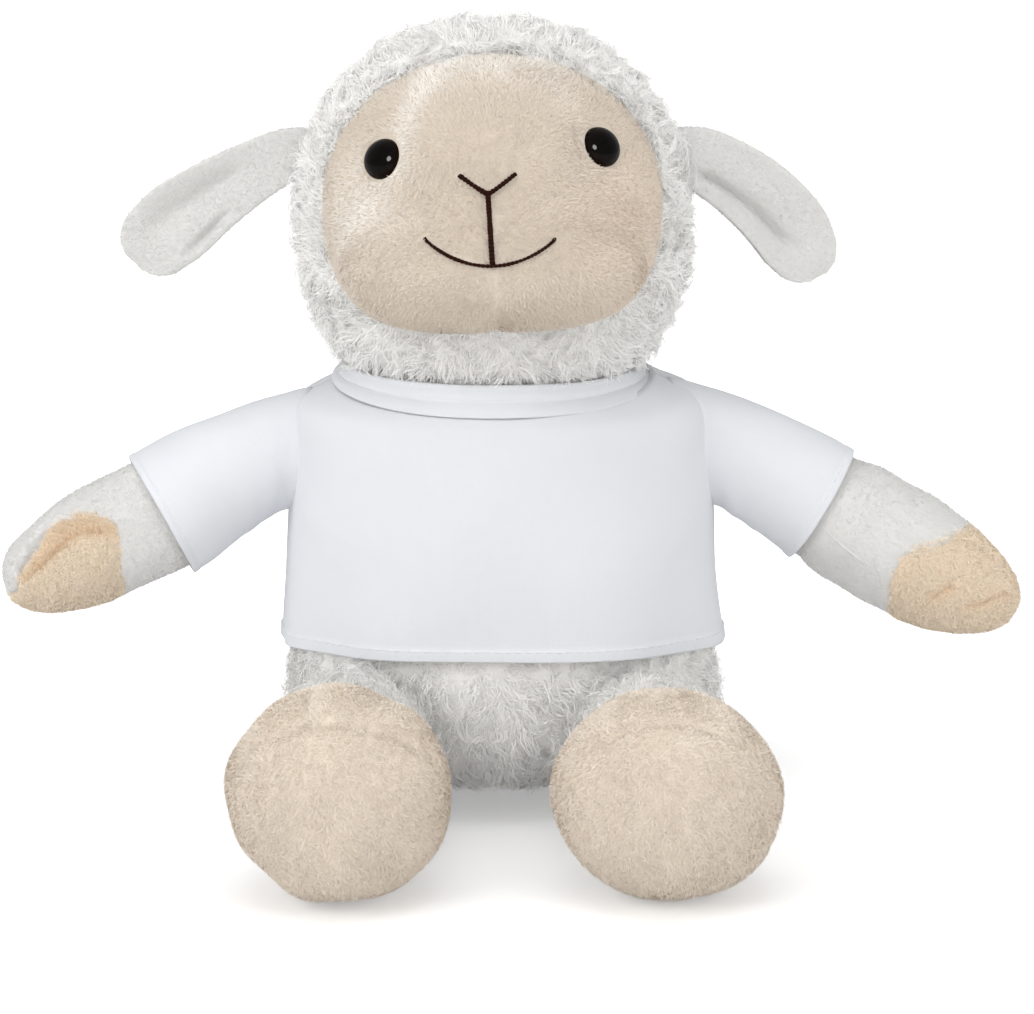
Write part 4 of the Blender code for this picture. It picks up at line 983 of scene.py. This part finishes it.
arms = dict(
    shoulderOut=0.0580, shoulderHeight=0.0835, radius=0.0123, flatness=0.88,
    length={-1: 0.0721, 1: 0.0797}, droop={-1: 27.2 * degree, 1: 30.3 * degree},
    swing={-1: 14 * degree, 1: 3 * degree},
    # share of the length, share of the radius
    rows={
        -1: ((0.00, 1.000), (0.05, 0.965), (0.16, 1.015), (0.40, 1.180), (0.50, 1.190), (0.62, 1.150),
             (0.74, 1.050), (0.83, 0.910), (0.90, 0.740), (0.95, 0.520), (0.99, 0.180)),
        1: ((0.00, 1.000), (0.05, 0.960), (0.16, 0.990), (0.30, 1.100), (0.42, 1.220), (0.60, 1.230),
            (0.74, 1.130), (0.84, 0.950), (0.91, 0.730), (0.96, 0.480), (0.99, 0.180)),
    },
    # share of the length, height of the middle line over a straight one
    bend={
        -1: ((0.0, 0.0), (0.2, -0.0009), (0.4, -0.0013), (0.55, -0.0008), (0.75, 0.0006), (1.0, 0.0013)),
        1: ((0.0, 0.0), (0.2, -0.0010), (0.45, -0.0013), (0.7, -0.0011), (1.0, 0.0)),
    },
    sleeve={-1: 0.0300, 1: 0.0241},
    sleeveTop={-1: 0.0019, 1: 0.0024},    # how much fuller the sleeve's root is on top
    underSleeve=0.0013, underPad=0.0026,    # how far the skin sinks there
    lump=0.00045, hairs=21000,
)
pads = dict(
    start=0.595,
    # share of the pad's length, height of its upper edge above the arm's middle
    top={
        -1: ((0.0, 0.0062), (0.10, 0.0092), (0.28, 0.0112), (0.50, 0.0104), (0.75, 0.0068), (1.0, 0.0030)),
        1: ((0.0, 0.0022), (0.03, 0.0045), (0.09, 0.0072), (0.25, 0.0118), (0.42, 0.0150), (1.0, 0.0150)),
    },
    tip={-1: (0.93, 0.985), 1: (0.985, 0.985)},    # share of the arm where it ends, above and below
    behind=0.0020, rise=0.0001, tuck=0.0004,
    # share across the pad, added to the start there
    slant={
        -1: ((0, -0.03), (0.5, 0.035), (1, 0.10)),
        1: ((0, -0.015), (0.2, -0.015), (0.5, 0.03), (1, 0.08)),
    },
    # creases: place across, how far that bows, where it begins and ends, half-width, depth
    creases={
        -1: ((0.09, 0.10, 0.0, 0.98, 0.030, 0.0012),),
        1: ((0.147, 0.379, 0.48, 0.95, 0.025, 0.0010), (0.49, 0.0, 0.20, 0.46, 0.035, 0.0009)),
    },
    roll={-1: 0.6, 1: 0.0},    # how much warmer the strip above the crease is
    hairs=20000,
)
padLook = dict(
    plushLook, hairs=4, tuftRadius=0.0007, spread=0.9, rise=0.0007, reach=0.0011, curl=0.0005, turns=0.8,
    gather=0.4, width=0.00016, tilt=0.3, tuftTone=0.02, hairTone=0.025,
)
limbs = {}
for side, word in sides:
    droop, swing = arms["droop"][side], arms["swing"][side]
    limbs[side] = dict(
        centre=np.array((side * arms["shoulderOut"], 0.0, arms["shoulderHeight"])),
        axes=limbAxes((side * math.cos(droop) * math.cos(swing), -math.cos(droop) * math.sin(swing),
                       -math.sin(droop))),
        radius=arms["radius"], flatness=arms["flatness"],
        **{key: arms[key][side] for key in ("length", "rows", "bend")},
    )


def padEnds(side, across):
    # Shares of the arm at which the pad begins and ends, at a place across it.
    above, below = pads["tip"][side]
    start = pads["start"] + throughRows(pads["slant"][side], across)
    return start, above + (below - above) * softStep(across, 0, 0.5)


def padTurns(side, along, radius):
    # Turns of the pad's upper and lower edge, at a place along it where the arm has a radius.
    upper = np.arccos(np.clip(throughRows(pads["top"][side], along) / radius, -1, 1))
    return upper, math.pi + np.arcsin(np.clip(pads["behind"] / radius, -1, 1))


def insidePad(side, shares, turns):
    # How far inside the pad's outline a place on the arm lies, in metres, below 0 outside it.
    limb = limbs[side]
    radius = limb["radius"] * throughRows(limb["rows"], np.clip(shares, 0, 1))
    start, end = padEnds(side, 0.5)
    upper, lower = padTurns(side, np.clip((shares - start) / (end - start), 0, 1), radius)
    across = (turns - upper) / (lower - upper)
    start, end = padEnds(side, np.clip(across, 0, 1))
    along = (shares - start) / (end - start)
    edge = np.minimum(across, 1 - across) * (lower - upper) * radius
    return np.minimum(edge, np.minimum(along, 1 - along) * (end - start) * limb["length"])


def padGrid(side, rows, columns):
    # Shares from the pad's start to the tip, turns from its upper edge round to its lower edge.
    # With the points come how creased each is, the share of painted shade along the creases and of the warmer
    # strip above the left one, and how near the upper edge, the share of a painted highlight there.
    limb = limbs[side]
    across = np.linspace(0, 1, columns)[None]
    along = 1 - (1 - np.linspace(0, 1, rows)[:, None]) ** 1.5
    start, end = padEnds(side, across)
    shares = start + (end - start) * along
    radius = limb["radius"] * throughRows(limb["rows"], shares)
    upper, lower = padTurns(side, along, radius)
    edge = np.minimum(across * (lower - upper), (1 - across) * (lower - upper)) * radius
    edge = np.minimum(edge, along * (end - start) * limb["length"])
    lift = -pads["tuck"] + (pads["tuck"] + pads["rise"]) * softStep(edge, 0, 0.0028)
    creaseShadeAndTint = 0.0
    for place, bow, begin, end, width, depth in pads["creases"][side]:
        line = place + bow * np.sin(math.pi * along) + 0.012 * np.sin(14 * along)
        crease = bell(across, line, width)
        crease = crease * softStep(along, begin, begin + 0.12) * (1 - softStep(along, end - 0.15, end))
        lift = lift - depth * crease
        # painted shade along the crease, plus the warmer strip above it
        creaseShadeAndTint = creaseShadeAndTint + crease + pads["roll"][side] * (1 - softStep(across, line - 0.02, line + 0.02))
    points = limbPoints(limb, shares, upper + (lower - upper) * across, lift)
    return points, creaseShadeAndTint, 1 - softStep(across * (lower - upper) * radius, 0.0006, 0.0020) + 0 * shares


for side, word in sides:
    limb = limbs[side]
    out, over, front = limb["axes"]
    turns = allRound(56)
    shares = np.append(np.linspace(-0.72, -0.05, 8), 0.985 * (1 - (1 - np.linspace(0, 1, 64)) ** 1.35))
    cuff = arms["sleeve"][side]
    tight = -arms["underSleeve"] * (1 - softStep(shares * limb["length"], cuff - 0.008, cuff - 0.002))
    inPad = insidePad(side, shares[:, None], turns[None])
    sunk = tight[:, None] - arms["underPad"] * softStep(inPad, 0.0002, 0.0022)
    grid = limbPoints(limb, shares[:, None], turns[None], sunk + 0.0004 * bell(inPad, -0.0012, 0.0009))
    lumps = arms["lump"] * waves(grid, 0.020, 71 + side) * softStep(shares, 0.1, 0.4)[:, None]
    grid = grid + gridNormals(grid, True, limb["centre"]) * lumps[..., None]
    arm = skin(f"{word}Arm", grid, first=True, last=limb["centre"] + out * limb["length"])
    nodes = [f"{word}_arm_skin", f"{word}_arm_stuffing"]
    dress(arm, f"{word}_arm", cloth["velour"], nodes)
    keep = np.where(shares > (cuff - 0.0015) / limb["length"], 1.0, 0.0)[:, None]
    keep = keep * np.where(inPad < 0.0004, 1.0, 0.0)
    found = scatter(grid, True, arms["hairs"] // 3, limb["centre"] + out * 0.04, keep)
    layPile(f"{word}ArmFuzz", f"{word}_arm", hair["velour"], velourLook, found,
            lambda places: out + 0.3 * waves(places, 0.01, 73)[:, None] * over, (0.8,))
    # with the grid come the shares of painted shade in the creases (with the warm strip) and of the painted
    # highlight on the upper edge
    grid, crease, rim = padGrid(side, 60, 64)
    middle = limb["centre"] + out * 0.05
    pad = skin(f"{word}Pad", grid, closed=False, inside=middle)
    dress(pad, f"{word}_arm", cloth["pad"], [f"{word}_hand_pad"])
    *found, pale, deep = scatter(grid, False, pads["hairs"] // 4, middle, None, [rim, crease])
    layPile(f"{word}PadPile", f"{word}_arm", hair["pad"], padLook, found, out, (1.2,),
            (0.7, 1.3), marks={"pale": 0.8 * pale, "deep": np.clip(deep, 0, 1)})

# The seam that shows on the right arm: a low ridge along a line of shares and turns
share = np.linspace(0, 1, 40)
line = limbPoints(limbs[1], 0.31 + 0.19 * share, 1.76 + 0.15 * share, 0.00015)
ridge = carried(line, 0.00042 * np.sin(math.pi * np.clip(share, 0.02, 0.98)) ** 0.4, 8)
ridge = skin("rightArmSeam", ridge, first=line[0], last=line[-1])
dress(ridge, "right_arm", cloth["velour"])
print("stage: arms and hand pads")


# Legs and feet

feet = dict(
    hip=(0.0338, -0.0478, 0.0220), hipRadius=0.0165,
    centre={-1: (-0.0358, -0.0900, 0.0240), 1: (0.0366, -0.0890, 0.0240)},
    half={-1: (0.0248, 0.0236, 0.0236), 1: (0.0251, 0.0236, 0.0229)},
    tilt=22 * degree, seam=79 * degree, seamDepth=0.0011, seamWidth=2.4 * degree, lump=0.00055,
    # crease on the upper: bearing, where it ends, depth
    crease={-1: (106 * degree, 120 * degree, 0.0018), 1: (115 * degree, 112 * degree, 0.0013)},
    fuller={-1: 0.0, 1: 0.0024},    # added at the lower right
    hairs=62000,
)
footLook = dict(
    padLook, tuftRadius=0.0008, rise=0.0006, curl=0.0004, turns=0.7, gather=0.3, hairTone=0.03, floor=0.0002,
)


def footPoints(side, turns, bearings):
    # An egg round the foot's centre: the turn is counted from the sole's middle, the bearing
    # runs round it. A groove marks the seam, with small gathers, and the floor presses it flat.
    ahead = np.array((0.0, -math.cos(feet["tilt"]), -math.sin(feet["tilt"])))
    up = np.array((0.0, -math.sin(feet["tilt"]), math.cos(feet["tilt"])))
    centre, seam = np.array(feet["centre"][side]), feet["seam"]
    direction = (np.cos(turns)[..., None] * ahead + (np.sin(turns) * np.cos(bearings))[..., None] * level
                 + (np.sin(turns) * np.sin(bearings))[..., None] * up)
    groove = feet["seamDepth"] * np.exp(-np.abs(turns - seam) / feet["seamWidth"])
    gather = 0.00025 * np.sin(bearings * 46 + 3 * np.sin(bearings * 5)) * bell(turns, seam, 6 * degree)
    place, end, depth = feet["crease"][side]
    crease = depth * bell(bearings, place, 3 * degree) * softStep(turns, seam - 4 * degree, seam)
    crease = crease * (1 - softStep(turns, end - 12 * degree, end))
    rough = feet["lump"] * waves(centre + direction * 0.024, 0.020, 81 + side)
    off = (bearings + 42 * degree + math.pi) % fullTurn - math.pi
    rough = rough + feet["fuller"][side] * bell(off, 0, 34 * degree) * np.sin(turns) ** 2
    sizes = np.array(feet["half"][side]) + (gather - groove - crease + rough)[..., None]
    points = centre + direction * sizes
    points[..., 2] = np.maximum(points[..., 2], 0.0003)
    return points


for side, word in sides:
    hip = np.array((side, 1, 1)) * feet["hip"]
    centre = np.array(feet["centre"][side])
    leg = dict(
        centre=hip, axes=limbAxes(centre - hip), radius=feet["hipRadius"], flatness=1.0,
        length=np.linalg.norm(centre - hip) - 0.685 * feet["half"][side][1],
        rows=((0.0, 1.0), (0.5, 1.02), (1.0, 1.0)),
    )
    turns, shares = allRound(60), np.linspace(-0.7, 1.0, 26)
    grid = limbPoints(leg, shares[:, None], turns[None])
    nodes = [f"{word}_leg_skin", f"{word}_leg_stuffing"]
    root = skin(f"{word}Leg", grid, first=True, last=True)
    dress(root, f"{word}_leg", cloth["wool"], nodes)
    keep = np.where(shares > -0.60, 1.0, 0.0)[:, None] + 0 * turns[None]
    woolCoat(f"{word}Leg", f"{word}_leg", grid, hip, keep, (620, 290), (0.0, -0.3, 0.6),
             (0.5, 1.0, 0.015, 87 + side))
    grids = []
    for label, low, high, rows, pole in (("Sole", 0.03, feet["seam"], 44, "first"),
                                         ("Upper", feet["seam"], 0.99 * math.pi, 56, "last")):
        grid = footPoints(side, np.linspace(low, high, rows)[:, None], allRound(96)[None])
        piece = skin(f"{word}Foot{label}", grid, inside=centre, **{pole: True})
        dress(piece, f"{word}_leg", cloth["foot"], [f"{word}_foot_{label.lower()}"])
        grids.append(grid)
    grid = np.concatenate([grids[0], grids[1][1:]])
    seen = np.where(grid[..., 2] > 0.0009, 1.0, 0.0) * np.where(grid[..., 1] < -0.064, 1.0, 0.0)
    found = scatter(grid, True, feet["hairs"] // 4, centre, seen)
    # paler where the pile faces up: painted light from above on the tops
    layPile(f"{word}FootPile", f"{word}_leg", hair["foot"], footLook, found, (0.0, 0.0, -1.0),
            (0.5, 0.8, 0.014, 91 + side), (0.7, 1.3), 1.0, 2, {"pale": softStep(found[1][:, 2], 0.3, 0.9)})
print("stage: legs and feet")


# Tail

tail = dict(
    centre=np.array((0.0, 0.0474, 0.0200)),
    axes=limbAxes((0.0, math.cos(25 * degree), -math.sin(25 * degree))),
    radius=0.0062, length=0.0170, flatness=1.0,
    rows=((0.0, 1.0), (0.3, 1.22), (0.6, 1.32), (0.85, 1.0), (0.96, 0.52)),
)
turns = allRound(40)
shares = np.concatenate([np.linspace(-0.6, -0.1, 5), np.linspace(0, 0.96, 24)])
grid = limbPoints(tail, shares[:, None], turns[None])
tailSkin = skin("tailSkin", grid, first=True, last=tail["centre"] + tail["axes"][0] * tail["length"])
dress(tailSkin, "tail", cloth["wool"], ["tail_skin", "tail_stuffing"])
keep = np.where(shares > 0.12, 1.0, 0.0)[:, None] + 0 * turns
woolCoat("tail", "tail", grid, tail["centre"], keep, (300, 160), tail["axes"][0], (0.5, 0.8, 0.010, 95), 0.8)
print("stage: tail")


# T-shirt

shirt = dict(
    top=0.0992, ease=0.0005, thickness=0.0010, flare=0.0009, dent=0.0005,
    hemFold=0.0032, hemExtra=0.0004, stitchUp=0.0028,
    shoulder={-1: 0.0002, 1: 0.0018},    # how far the cloth stands off at the shoulders' ends
    shoulderRows=(0.084, 0.0955),    # heights between which it comes to do so
    armholeHeight={-1: 0.0838, 1: 0.0856}, armholeRise={-1: 0.0144, 1: 0.0150}, armholeHalf=0.0132,
    # folds from each armpit: how much they fall per metre outwards, their reach, share of the depth
    folds=((-0.35, 0.030, 1.0), (-0.95, 0.022, 0.8), (0.35, 0.016, 0.7)), foldDepth=0.0003,
)
collar = dict(
    start=0.0988, sideRise=0.0021,    # how much higher it starts at the sides and the back
    overhang=0.0019, overhangSide=0.0023, flush=0.0008,    # flush: less of it on the right
    top=0.0040, frontRise=0.0022, drawIn=0.0009, roll=0.0009, tuckDown=0.0038, foldDown=0.0031,
)
stitching = dict(pitch=0.0024, length=0.0016)


def shirtPoints(heights, angles):
    # The torso's surface, let down at the back and up in front towards the hem, set out by the
    # ease and the cloth, with soft dents, folds from the armpits and the doubled hem.
    flat = torsoPoints(heights, angles)
    lowness = np.clip((shirt["top"] - heights) / (shirt["top"] - torso["hem"]), 0, 1) ** 2
    where = heights - torso["hemTilt"] * flat[..., 1] * lowness
    out = shirt["ease"] + shirt["thickness"] + shirt["flare"] * lowness
    sideways = softStep(np.abs(np.cos(angles)), 0.70, 0.97)
    stand = np.where(np.cos(angles) < 0, shirt["shoulder"][-1], shirt["shoulder"][1])
    out = out + stand * sideways * softStep(heights, *shirt["shoulderRows"])
    out = out * (1 - 0.35 * softStep(heights, 0.096, shirt["top"]))
    out = out + shirt["dent"] * (0.6 + waves(flat, 0.030, 101)) * softStep(shirt["top"] - heights, 0, 0.012)
    for side, word in sides:
        run = shirt["armholeHalf"] + 0.034 - side * flat[..., 0]
        for slope, reach, share in shirt["folds"]:
            drop = heights - 0.072 - slope * run
            fold = bell(drop, 0, 0.0022 + 0.09 * np.abs(run)) * softStep(run, 0.0, 0.004)
            out = out + share * shirt["foldDepth"] * fold * (1 - softStep(run, 0.004, reach))
    out = out + 0.0005 * lowness * np.sin(angles * 9 + 1.7 * np.sin(angles * 2))
    up = heights - torso["hem"]
    out = out + shirt["hemExtra"] * (1 - softStep(up, shirt["hemFold"] - 0.0003, shirt["hemFold"] + 0.0003))
    return torsoLayer(where, angles, out - 0.00006 * bell(up, shirt["stitchUp"], 0.0005))


def cutMap(grid):
    # Place on the flat cloth: distance run along the rows and along the columns.
    across = np.linalg.norm(np.diff(grid, axis=1), axis=-1).mean(axis=0)
    upward = np.linalg.norm(np.diff(grid, axis=0), axis=-1).mean(axis=1)
    return np.stack(np.meshgrid(np.append(0, np.cumsum(across)), np.append(0, np.cumsum(upward))), axis=-1)


def thicken(piece, thickness):
    # Gives the cloth its thickness on the inner side.
    solid = piece.modifiers.new("cloth", "SOLIDIFY")
    solid.thickness = thickness
    solid.offset = -1.0


def beads(name, places, alongs, normals, length, radius):
    # One long bead per stitch: place + cos(t) * half length * along + sin(t) * radius * ring.
    rows, columns = 5, 8
    t = ((np.arange(rows) + 0.5) / rows * math.pi)[None, :, None, None]
    turn = allRound(columns)[:, None]
    ring = np.cos(turn) * np.cross(normals, alongs)[:, None] + np.sin(turn) * normals[:, None]
    points = places[:, None, None] + np.cos(t) * length / 2 * alongs[:, None, None]
    points = points + np.sin(t) ** 0.6 * radius * ring[:, None]
    index = np.arange(rows * columns).reshape(rows, columns)
    right = np.roll(index, -1, axis=1)
    quad = np.stack([index[:-1], right[:-1], right[1:], index[1:]], axis=-1).reshape(-1, 4)
    start = (np.arange(len(places)) * rows * columns)[:, None, None]
    ends = np.concatenate([
        np.stack([index[0, 0:1].repeat(6), index[0, 2:8], index[0, 1:7]], axis=-1),
        np.stack([index[-1, 0:1].repeat(6), index[-1, 1:7], index[-1, 2:8]], axis=-1),
    ])
    return makeMesh(name, points.reshape(-1, 3), (start + quad).reshape(-1, 4), (start + ends).reshape(-1, 3))


def stitchRow(name, body, line, normals, radius):
    # Stitches at an even pitch along a line on the cloth, half sunk into it.
    run, pitch = runAlong(line), stitching["pitch"]
    marks = np.arange(pitch / 2, run[-1], pitch)
    normals = unit(readAt(marks, run, normals))
    alongs = unit(readAt(marks + pitch / 4, run, line) - readAt(marks - pitch / 4, run, line))
    alongs = unit(alongs - (alongs * normals).sum(axis=-1, keepdims=True) * normals)
    row = beads(name, readAt(marks, run, line), alongs, normals, stitching["length"], radius)
    dress(row, body, whiteThread)
    return row


def surfaceX(side, y, z):
    # How far out the shirt lies at a depth and a height, from the torso's squared ellipse.
    width, depth, back, lean = torsoSizes(z / torso["height"])
    power = torso["squareness"]
    rest = np.clip(1 - np.abs(y / depth) ** power, 0.02, 1)
    ease = shirt["ease"] + shirt["thickness"] + shirt["shoulder"][side] * softStep(z, *shirt["shoulderRows"])
    return lean + side * (width * rest ** (1 / power) + ease)


def neckline(angles):
    # Height at which the neckband starts: lowest in front, higher by the side rise elsewhere.
    return collar["start"] + collar["sideRise"] * (1 - np.clip(-np.sin(angles), 0, 1) ** 1.5)


heights = np.append(
    torso["hem"] + np.array([0, 0.0004, 0.001, 0.0017, 0.0022, 0.0026, 0.0029, 0.0032, 0.0036]),
    np.linspace(torso["hem"] + 0.0045, shirt["top"], 72))
stitchLine = int(np.argmin(np.abs(heights - torso["hem"] - shirt["stitchUp"])))
for label, first, last in (("front", math.pi, fullTurn), ("back", 0.0, math.pi)):
    angles = np.linspace(first + 0.002, last - 0.002, 150)
    high, wide = np.meshgrid(heights, angles, indexing="ij")
    high = high + (neckline(wide) + 0.0006 - shirt["top"]) * softStep(high, 0.090, shirt["top"])
    grid = shirtPoints(high, wide)
    middle = (grid[:-1, :-1] + grid[1:, 1:]) / 2
    hole = np.zeros(middle.shape[:2], bool)
    for arm, word in sides:
        oval = (middle[..., 1] / (shirt["armholeHalf"] - 0.0024)) ** 2
        above = middle[..., 2] - shirt["armholeHeight"][arm]
        oval = oval + (above / (shirt["armholeRise"][arm] - 0.0024)) ** 2
        hole = hole | ((arm * middle[..., 0] > 0.03) & (oval < 1))
    name = label.title()
    panel = skin(f"shirt{name}", grid, closed=False, inside=torsoMiddle, uv=cutMap(grid), hole=hole)
    dress(panel, "torso", cloth["jersey"], [f"shirt_{label}"])
    thicken(panel, shirt["thickness"] * 0.9)
    normals = gridNormals(grid, False, torsoMiddle)
    row = stitchRow(f"hemStitch{name}", "torso", grid[stitchLine], normals[stitchLine], 0.00017)
print("stage: shirt's front and back")


# Neckband

def collarGrid(columns):
    # It starts on the slope of the shoulders, stands up round the neck and rolls inwards.
    angles = np.linspace(0.5 * math.pi, 2.5 * math.pi, columns)
    share = np.linspace(0, 1, 12)[:, None]
    high = neckline(angles) * (1 - share) + torso["height"] * share
    sideways = softStep(np.abs(np.cos(angles)), 0.5, 0.97)
    lift = collar["overhang"] + (collar["overhangSide"] - collar["overhang"]) * sideways
    lift = lift - collar["flush"] * softStep(np.cos(angles), 0.05, 0.55)
    lying = torsoLayer(high, angles + 0 * high, lift + 0.0003 * np.sin(share * math.pi))
    rise = collar["start"] + collar["top"] - torso["height"]
    rise = rise + collar["frontRise"] * np.clip(-np.sin(angles), 0, 1)
    share = np.linspace(0, 1, 14)[1:, None]
    narrow = 1 - collar["drawIn"] / torso["halfDepth"] * share
    standing = lying[-1] * np.stack([narrow, narrow, np.ones_like(narrow)], axis=-1)
    standing[..., 2] = lying[-1, :, 2] + share * rise
    inward = unit(-lying[-1] * (1, 1, 0))
    left, fold = (1 - share) * rise, collar["foldDown"]
    bulge = 0.00045 * np.sin(np.clip(1 - left / fold, 0, 1) * math.pi) - 0.00030 * bell(left, fold, 0.0006)
    standing = standing - bulge[..., None] * inward
    turn = np.linspace(0, math.pi, 8)[1:, None]
    rolled = standing[-1] + collar["roll"] * (1 - np.cos(turn))[..., None] * inward
    rolled[..., 2] = standing[-1, :, 2] + collar["roll"] * np.sin(turn)
    down = np.linspace(0, 1, 5)[1:, None, None]
    inner = rolled[-1] - down * np.array((0, 0, collar["tuckDown"]))
    return np.concatenate([lying, standing, rolled, inner])


grid = collarGrid(200)
band = skin("collarBand", grid, closed=False, inside=torsoMiddle, uv=cutMap(grid))
dress(band, "torso", cloth["rib"], ["collar_band"])
thicken(band, 0.0006)


# Sleeves

def sleeveGrid(side):
    # A tube round the arm that starts in the armhole on the shirt and turns into the arm's own
    # form: mix(armhole + tube - tube at the root, tube, share of the way).
    limb = limbs[side]
    reach = arms["sleeve"][side]
    run = np.concatenate([np.linspace(0, reach - 0.0026, 44), reach - np.linspace(0.0022, 0, 8)])[:, None]
    shares = run / limb["length"]
    turns = np.linspace(math.pi, 3 * math.pi, 97)[None]
    up = run - reach
    lift = 0.0016 + 0.0001 * softStep(run / reach, 0.25, 0.95)
    lift = lift + 0.0003 * softStep(up, -0.0022, -0.0018) - 0.0002 * bell(up, -0.0017, 0.0004)
    tube = limbPoints(limb, shares, turns, lift)
    root = limbPoints(limb, 0 * shares[:1], turns, 0.0016)
    y = -shirt["armholeHalf"] * np.sin(turns)
    z = shirt["armholeHeight"][side] + shirt["armholeRise"][side] * np.cos(turns)
    x = surfaceX(side, y, z) - side * (0.0005 + 0.0016 * (1 - softStep(run, 0, 0.0012)))
    hole = np.stack([x, y + 0 * x, z + 0 * x], axis=-1)
    share = softStep(run, -0.004, 0.021)[..., None]
    points = (hole + tube - root) * (1 - share) + tube * share
    normals = gridNormals(points, False, limb["centre"] + limb["axes"][0] * 0.01)
    puff = 0.0010 * np.sin(run / reach * math.pi) ** 0.8 * (0.5 + 0.5 * np.cos(turns))
    crush = 0.0
    for way in (1, -1):
        ripple = np.sin(run * 1100 + way * 2 * np.sin(turns))
        crush = crush + 0.0001 * ripple * bell(turns, 2 * math.pi + way * 2.6, 0.9)
    crush = crush * (softStep(run, 0, 0.004) * (1 - softStep(run, 0.012, 0.022)))
    dent = 0.00022 * waves(points, 0.016, 111 + side) * softStep(run, 0.001, 0.008)
    top = arms["sleeveTop"][side] * bell(run, 0.006, 0.008) * np.clip(np.cos(turns), 0, 1) ** 2
    return points + (puff + crush + dent + top)[..., None] * normals, run[:, 0], normals


for side, word in sides:
    grid, run, normals = sleeveGrid(side)
    limb = limbs[side]
    out = limb["axes"][0]
    sleeve = skin(f"{word}Sleeve", grid, closed=False, inside=limb["centre"] + out * 0.012, uv=cutMap(grid))
    sleeve.data.materials.append(cloth["jersey"])
    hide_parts(f"{word}_sleeve")
    thicken(sleeve, 0.0007)
    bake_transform(sleeve)
    row = int(np.argmin(np.abs(run - arms["sleeve"][side] + 0.0017)))
    stitches = stitchRow(f"{word}CuffStitch", f"{word}_arm", grid[row], normals[row], 0.00016)
print("stage: neckband and sleeves")


# Camera, floor and light

view = dict(place=(0.0036, -0.8, 0.25), down=12.74 * degree, focalPixels=3333.0, frameWidth=1034, sensor=36.0)
light = dict(
    world=0.50, floorColour=0.90,
    # the floor's glow near the object and far from it, and the distances between which it rises
    glowMiddle=(0.0, -0.08, 0.0), glow={"From Min": 0.06, "From Max": 0.30, "To Min": 0.33, "To Max": 1.0},
    # name, place, aimed at, size across, power in watts; only the eyes mirror the spark, and the
    # spot has a cone on the head from the upper left
    lamps=(
        ("key", (-1.05, -0.90, 0.85), (0.0, 0.0, 0.10), 0.90, 8.4),
        ("fill", (1.10, -0.85, 0.60), (0.0, 0.0, 0.10), 0.90, 4.6),
        ("top", (0.0, -0.35, 1.35), (0.0, 0.0, 0.10), 0.90, 4.1),
        ("low", (0.0, -1.40, 0.10), (0.0, 0.0, 0.08), 0.60, 4.1),
        ("spark", (-0.03, -0.88, 0.59), (-0.002, -0.040, 0.161), 0.38, 26.0, True),
        ("headSpot", (-0.95, -0.45, 0.62), (-0.028, -0.045, 0.150), 0.12, 12.0, False, 6.5 * degree),
    ),
)
camera = bpy.data.cameras.new("camera")
camera.sensor_width = view["sensor"]
camera.lens = view["focalPixels"] / view["frameWidth"] * view["sensor"]
cameraObject = bpy.data.objects.new("camera", camera)
cameraObject.location = view["place"]
cameraObject.rotation_euler = (math.pi / 2 - view["down"], 0.0, 0.0)
scene.collection.objects.link(cameraObject)
scene.camera = cameraObject
scene.view_settings.view_transform = "Standard"


def addLamp(name, place, target, size, power, mirrored=False, cone=None):
    # A lamp at place that looks at target: an area, or a spot if it has a cone. A mirrored lamp
    # is round, is seen in glossy surfaces and lights nothing else.
    data = bpy.data.lights.new(name, "AREA" if cone is None else "SPOT")
    if cone is None:
        data.shape = "DISK" if mirrored else "SQUARE"
        data.size = size
    else:
        data.shadow_soft_size = size
        data.spot_size = cone
        data.spot_blend = 1.0
    data.energy = power
    lamp = bpy.data.objects.new(name, data)
    lamp.visible_glossy = mirrored
    lamp.visible_diffuse = not mirrored
    lamp.location = place
    x, y, z = (b - a for a, b in zip(place, target))
    lamp.rotation_euler = (math.atan2(math.hypot(x, y), -z), 0.0, math.atan2(y, x) - math.pi / 2)
    scene.collection.objects.link(lamp)


def seenShare(add, calc):
    # 1 for what the camera, a reflection or a refraction sees, 0 for the light on the object.
    rays = add("LightPath").node.outputs
    return calc("MAXIMUM", calc("MAXIMUM", rays["Is Camera Ray"], rays["Is Glossy Ray"]),
                rays["Is Transmission Ray"])


for row in light["lamps"]:
    addLamp(*row)
world = bpy.data.worlds.new("studio")
scene.world = world
world.use_nodes = True
add, calc, mix, stored = nodeTools(world.node_tree)
bright = {0: seenShare(add, calc), 1: 1.0 - light["world"], 2: light["world"]}
feed(world.node_tree.nodes["Background"],
     {"Color": (1.0, 1.0, 1.0), "Strength": add("Math", bright, operation="MULTIPLY_ADD")})

floorMaterial, shader, add, calc, mix, stored = newMaterial("floorWhite")
away = {0: add("TexCoord", out="Object"), 1: light["glowMiddle"]}
away = add("VectorMath", away, "Value", operation="DISTANCE")
ramp = add("MapRange", {"Value": away, **light["glow"]}, "Result", interpolation_type="SMOOTHSTEP")
finish(shader, [light["floorColour"]] * 3, 0.9, 0.0)
feed(shader, {"Emission Color": (1.0, 1.0, 1.0),
              "Emission Strength": calc("MULTIPLY", seenShare(add, calc), ramp)})
edge = np.array(((-6, -6, 0), (6, -6, 0), (6, 6, 0), (-6, 6, 0)), float)
floor = makeMesh("floor", edge, np.array([[0, 1, 2, 3]]), np.zeros((0, 3), int))
floor.data.materials.append(floorMaterial)
print("stage: camera, floor and light")
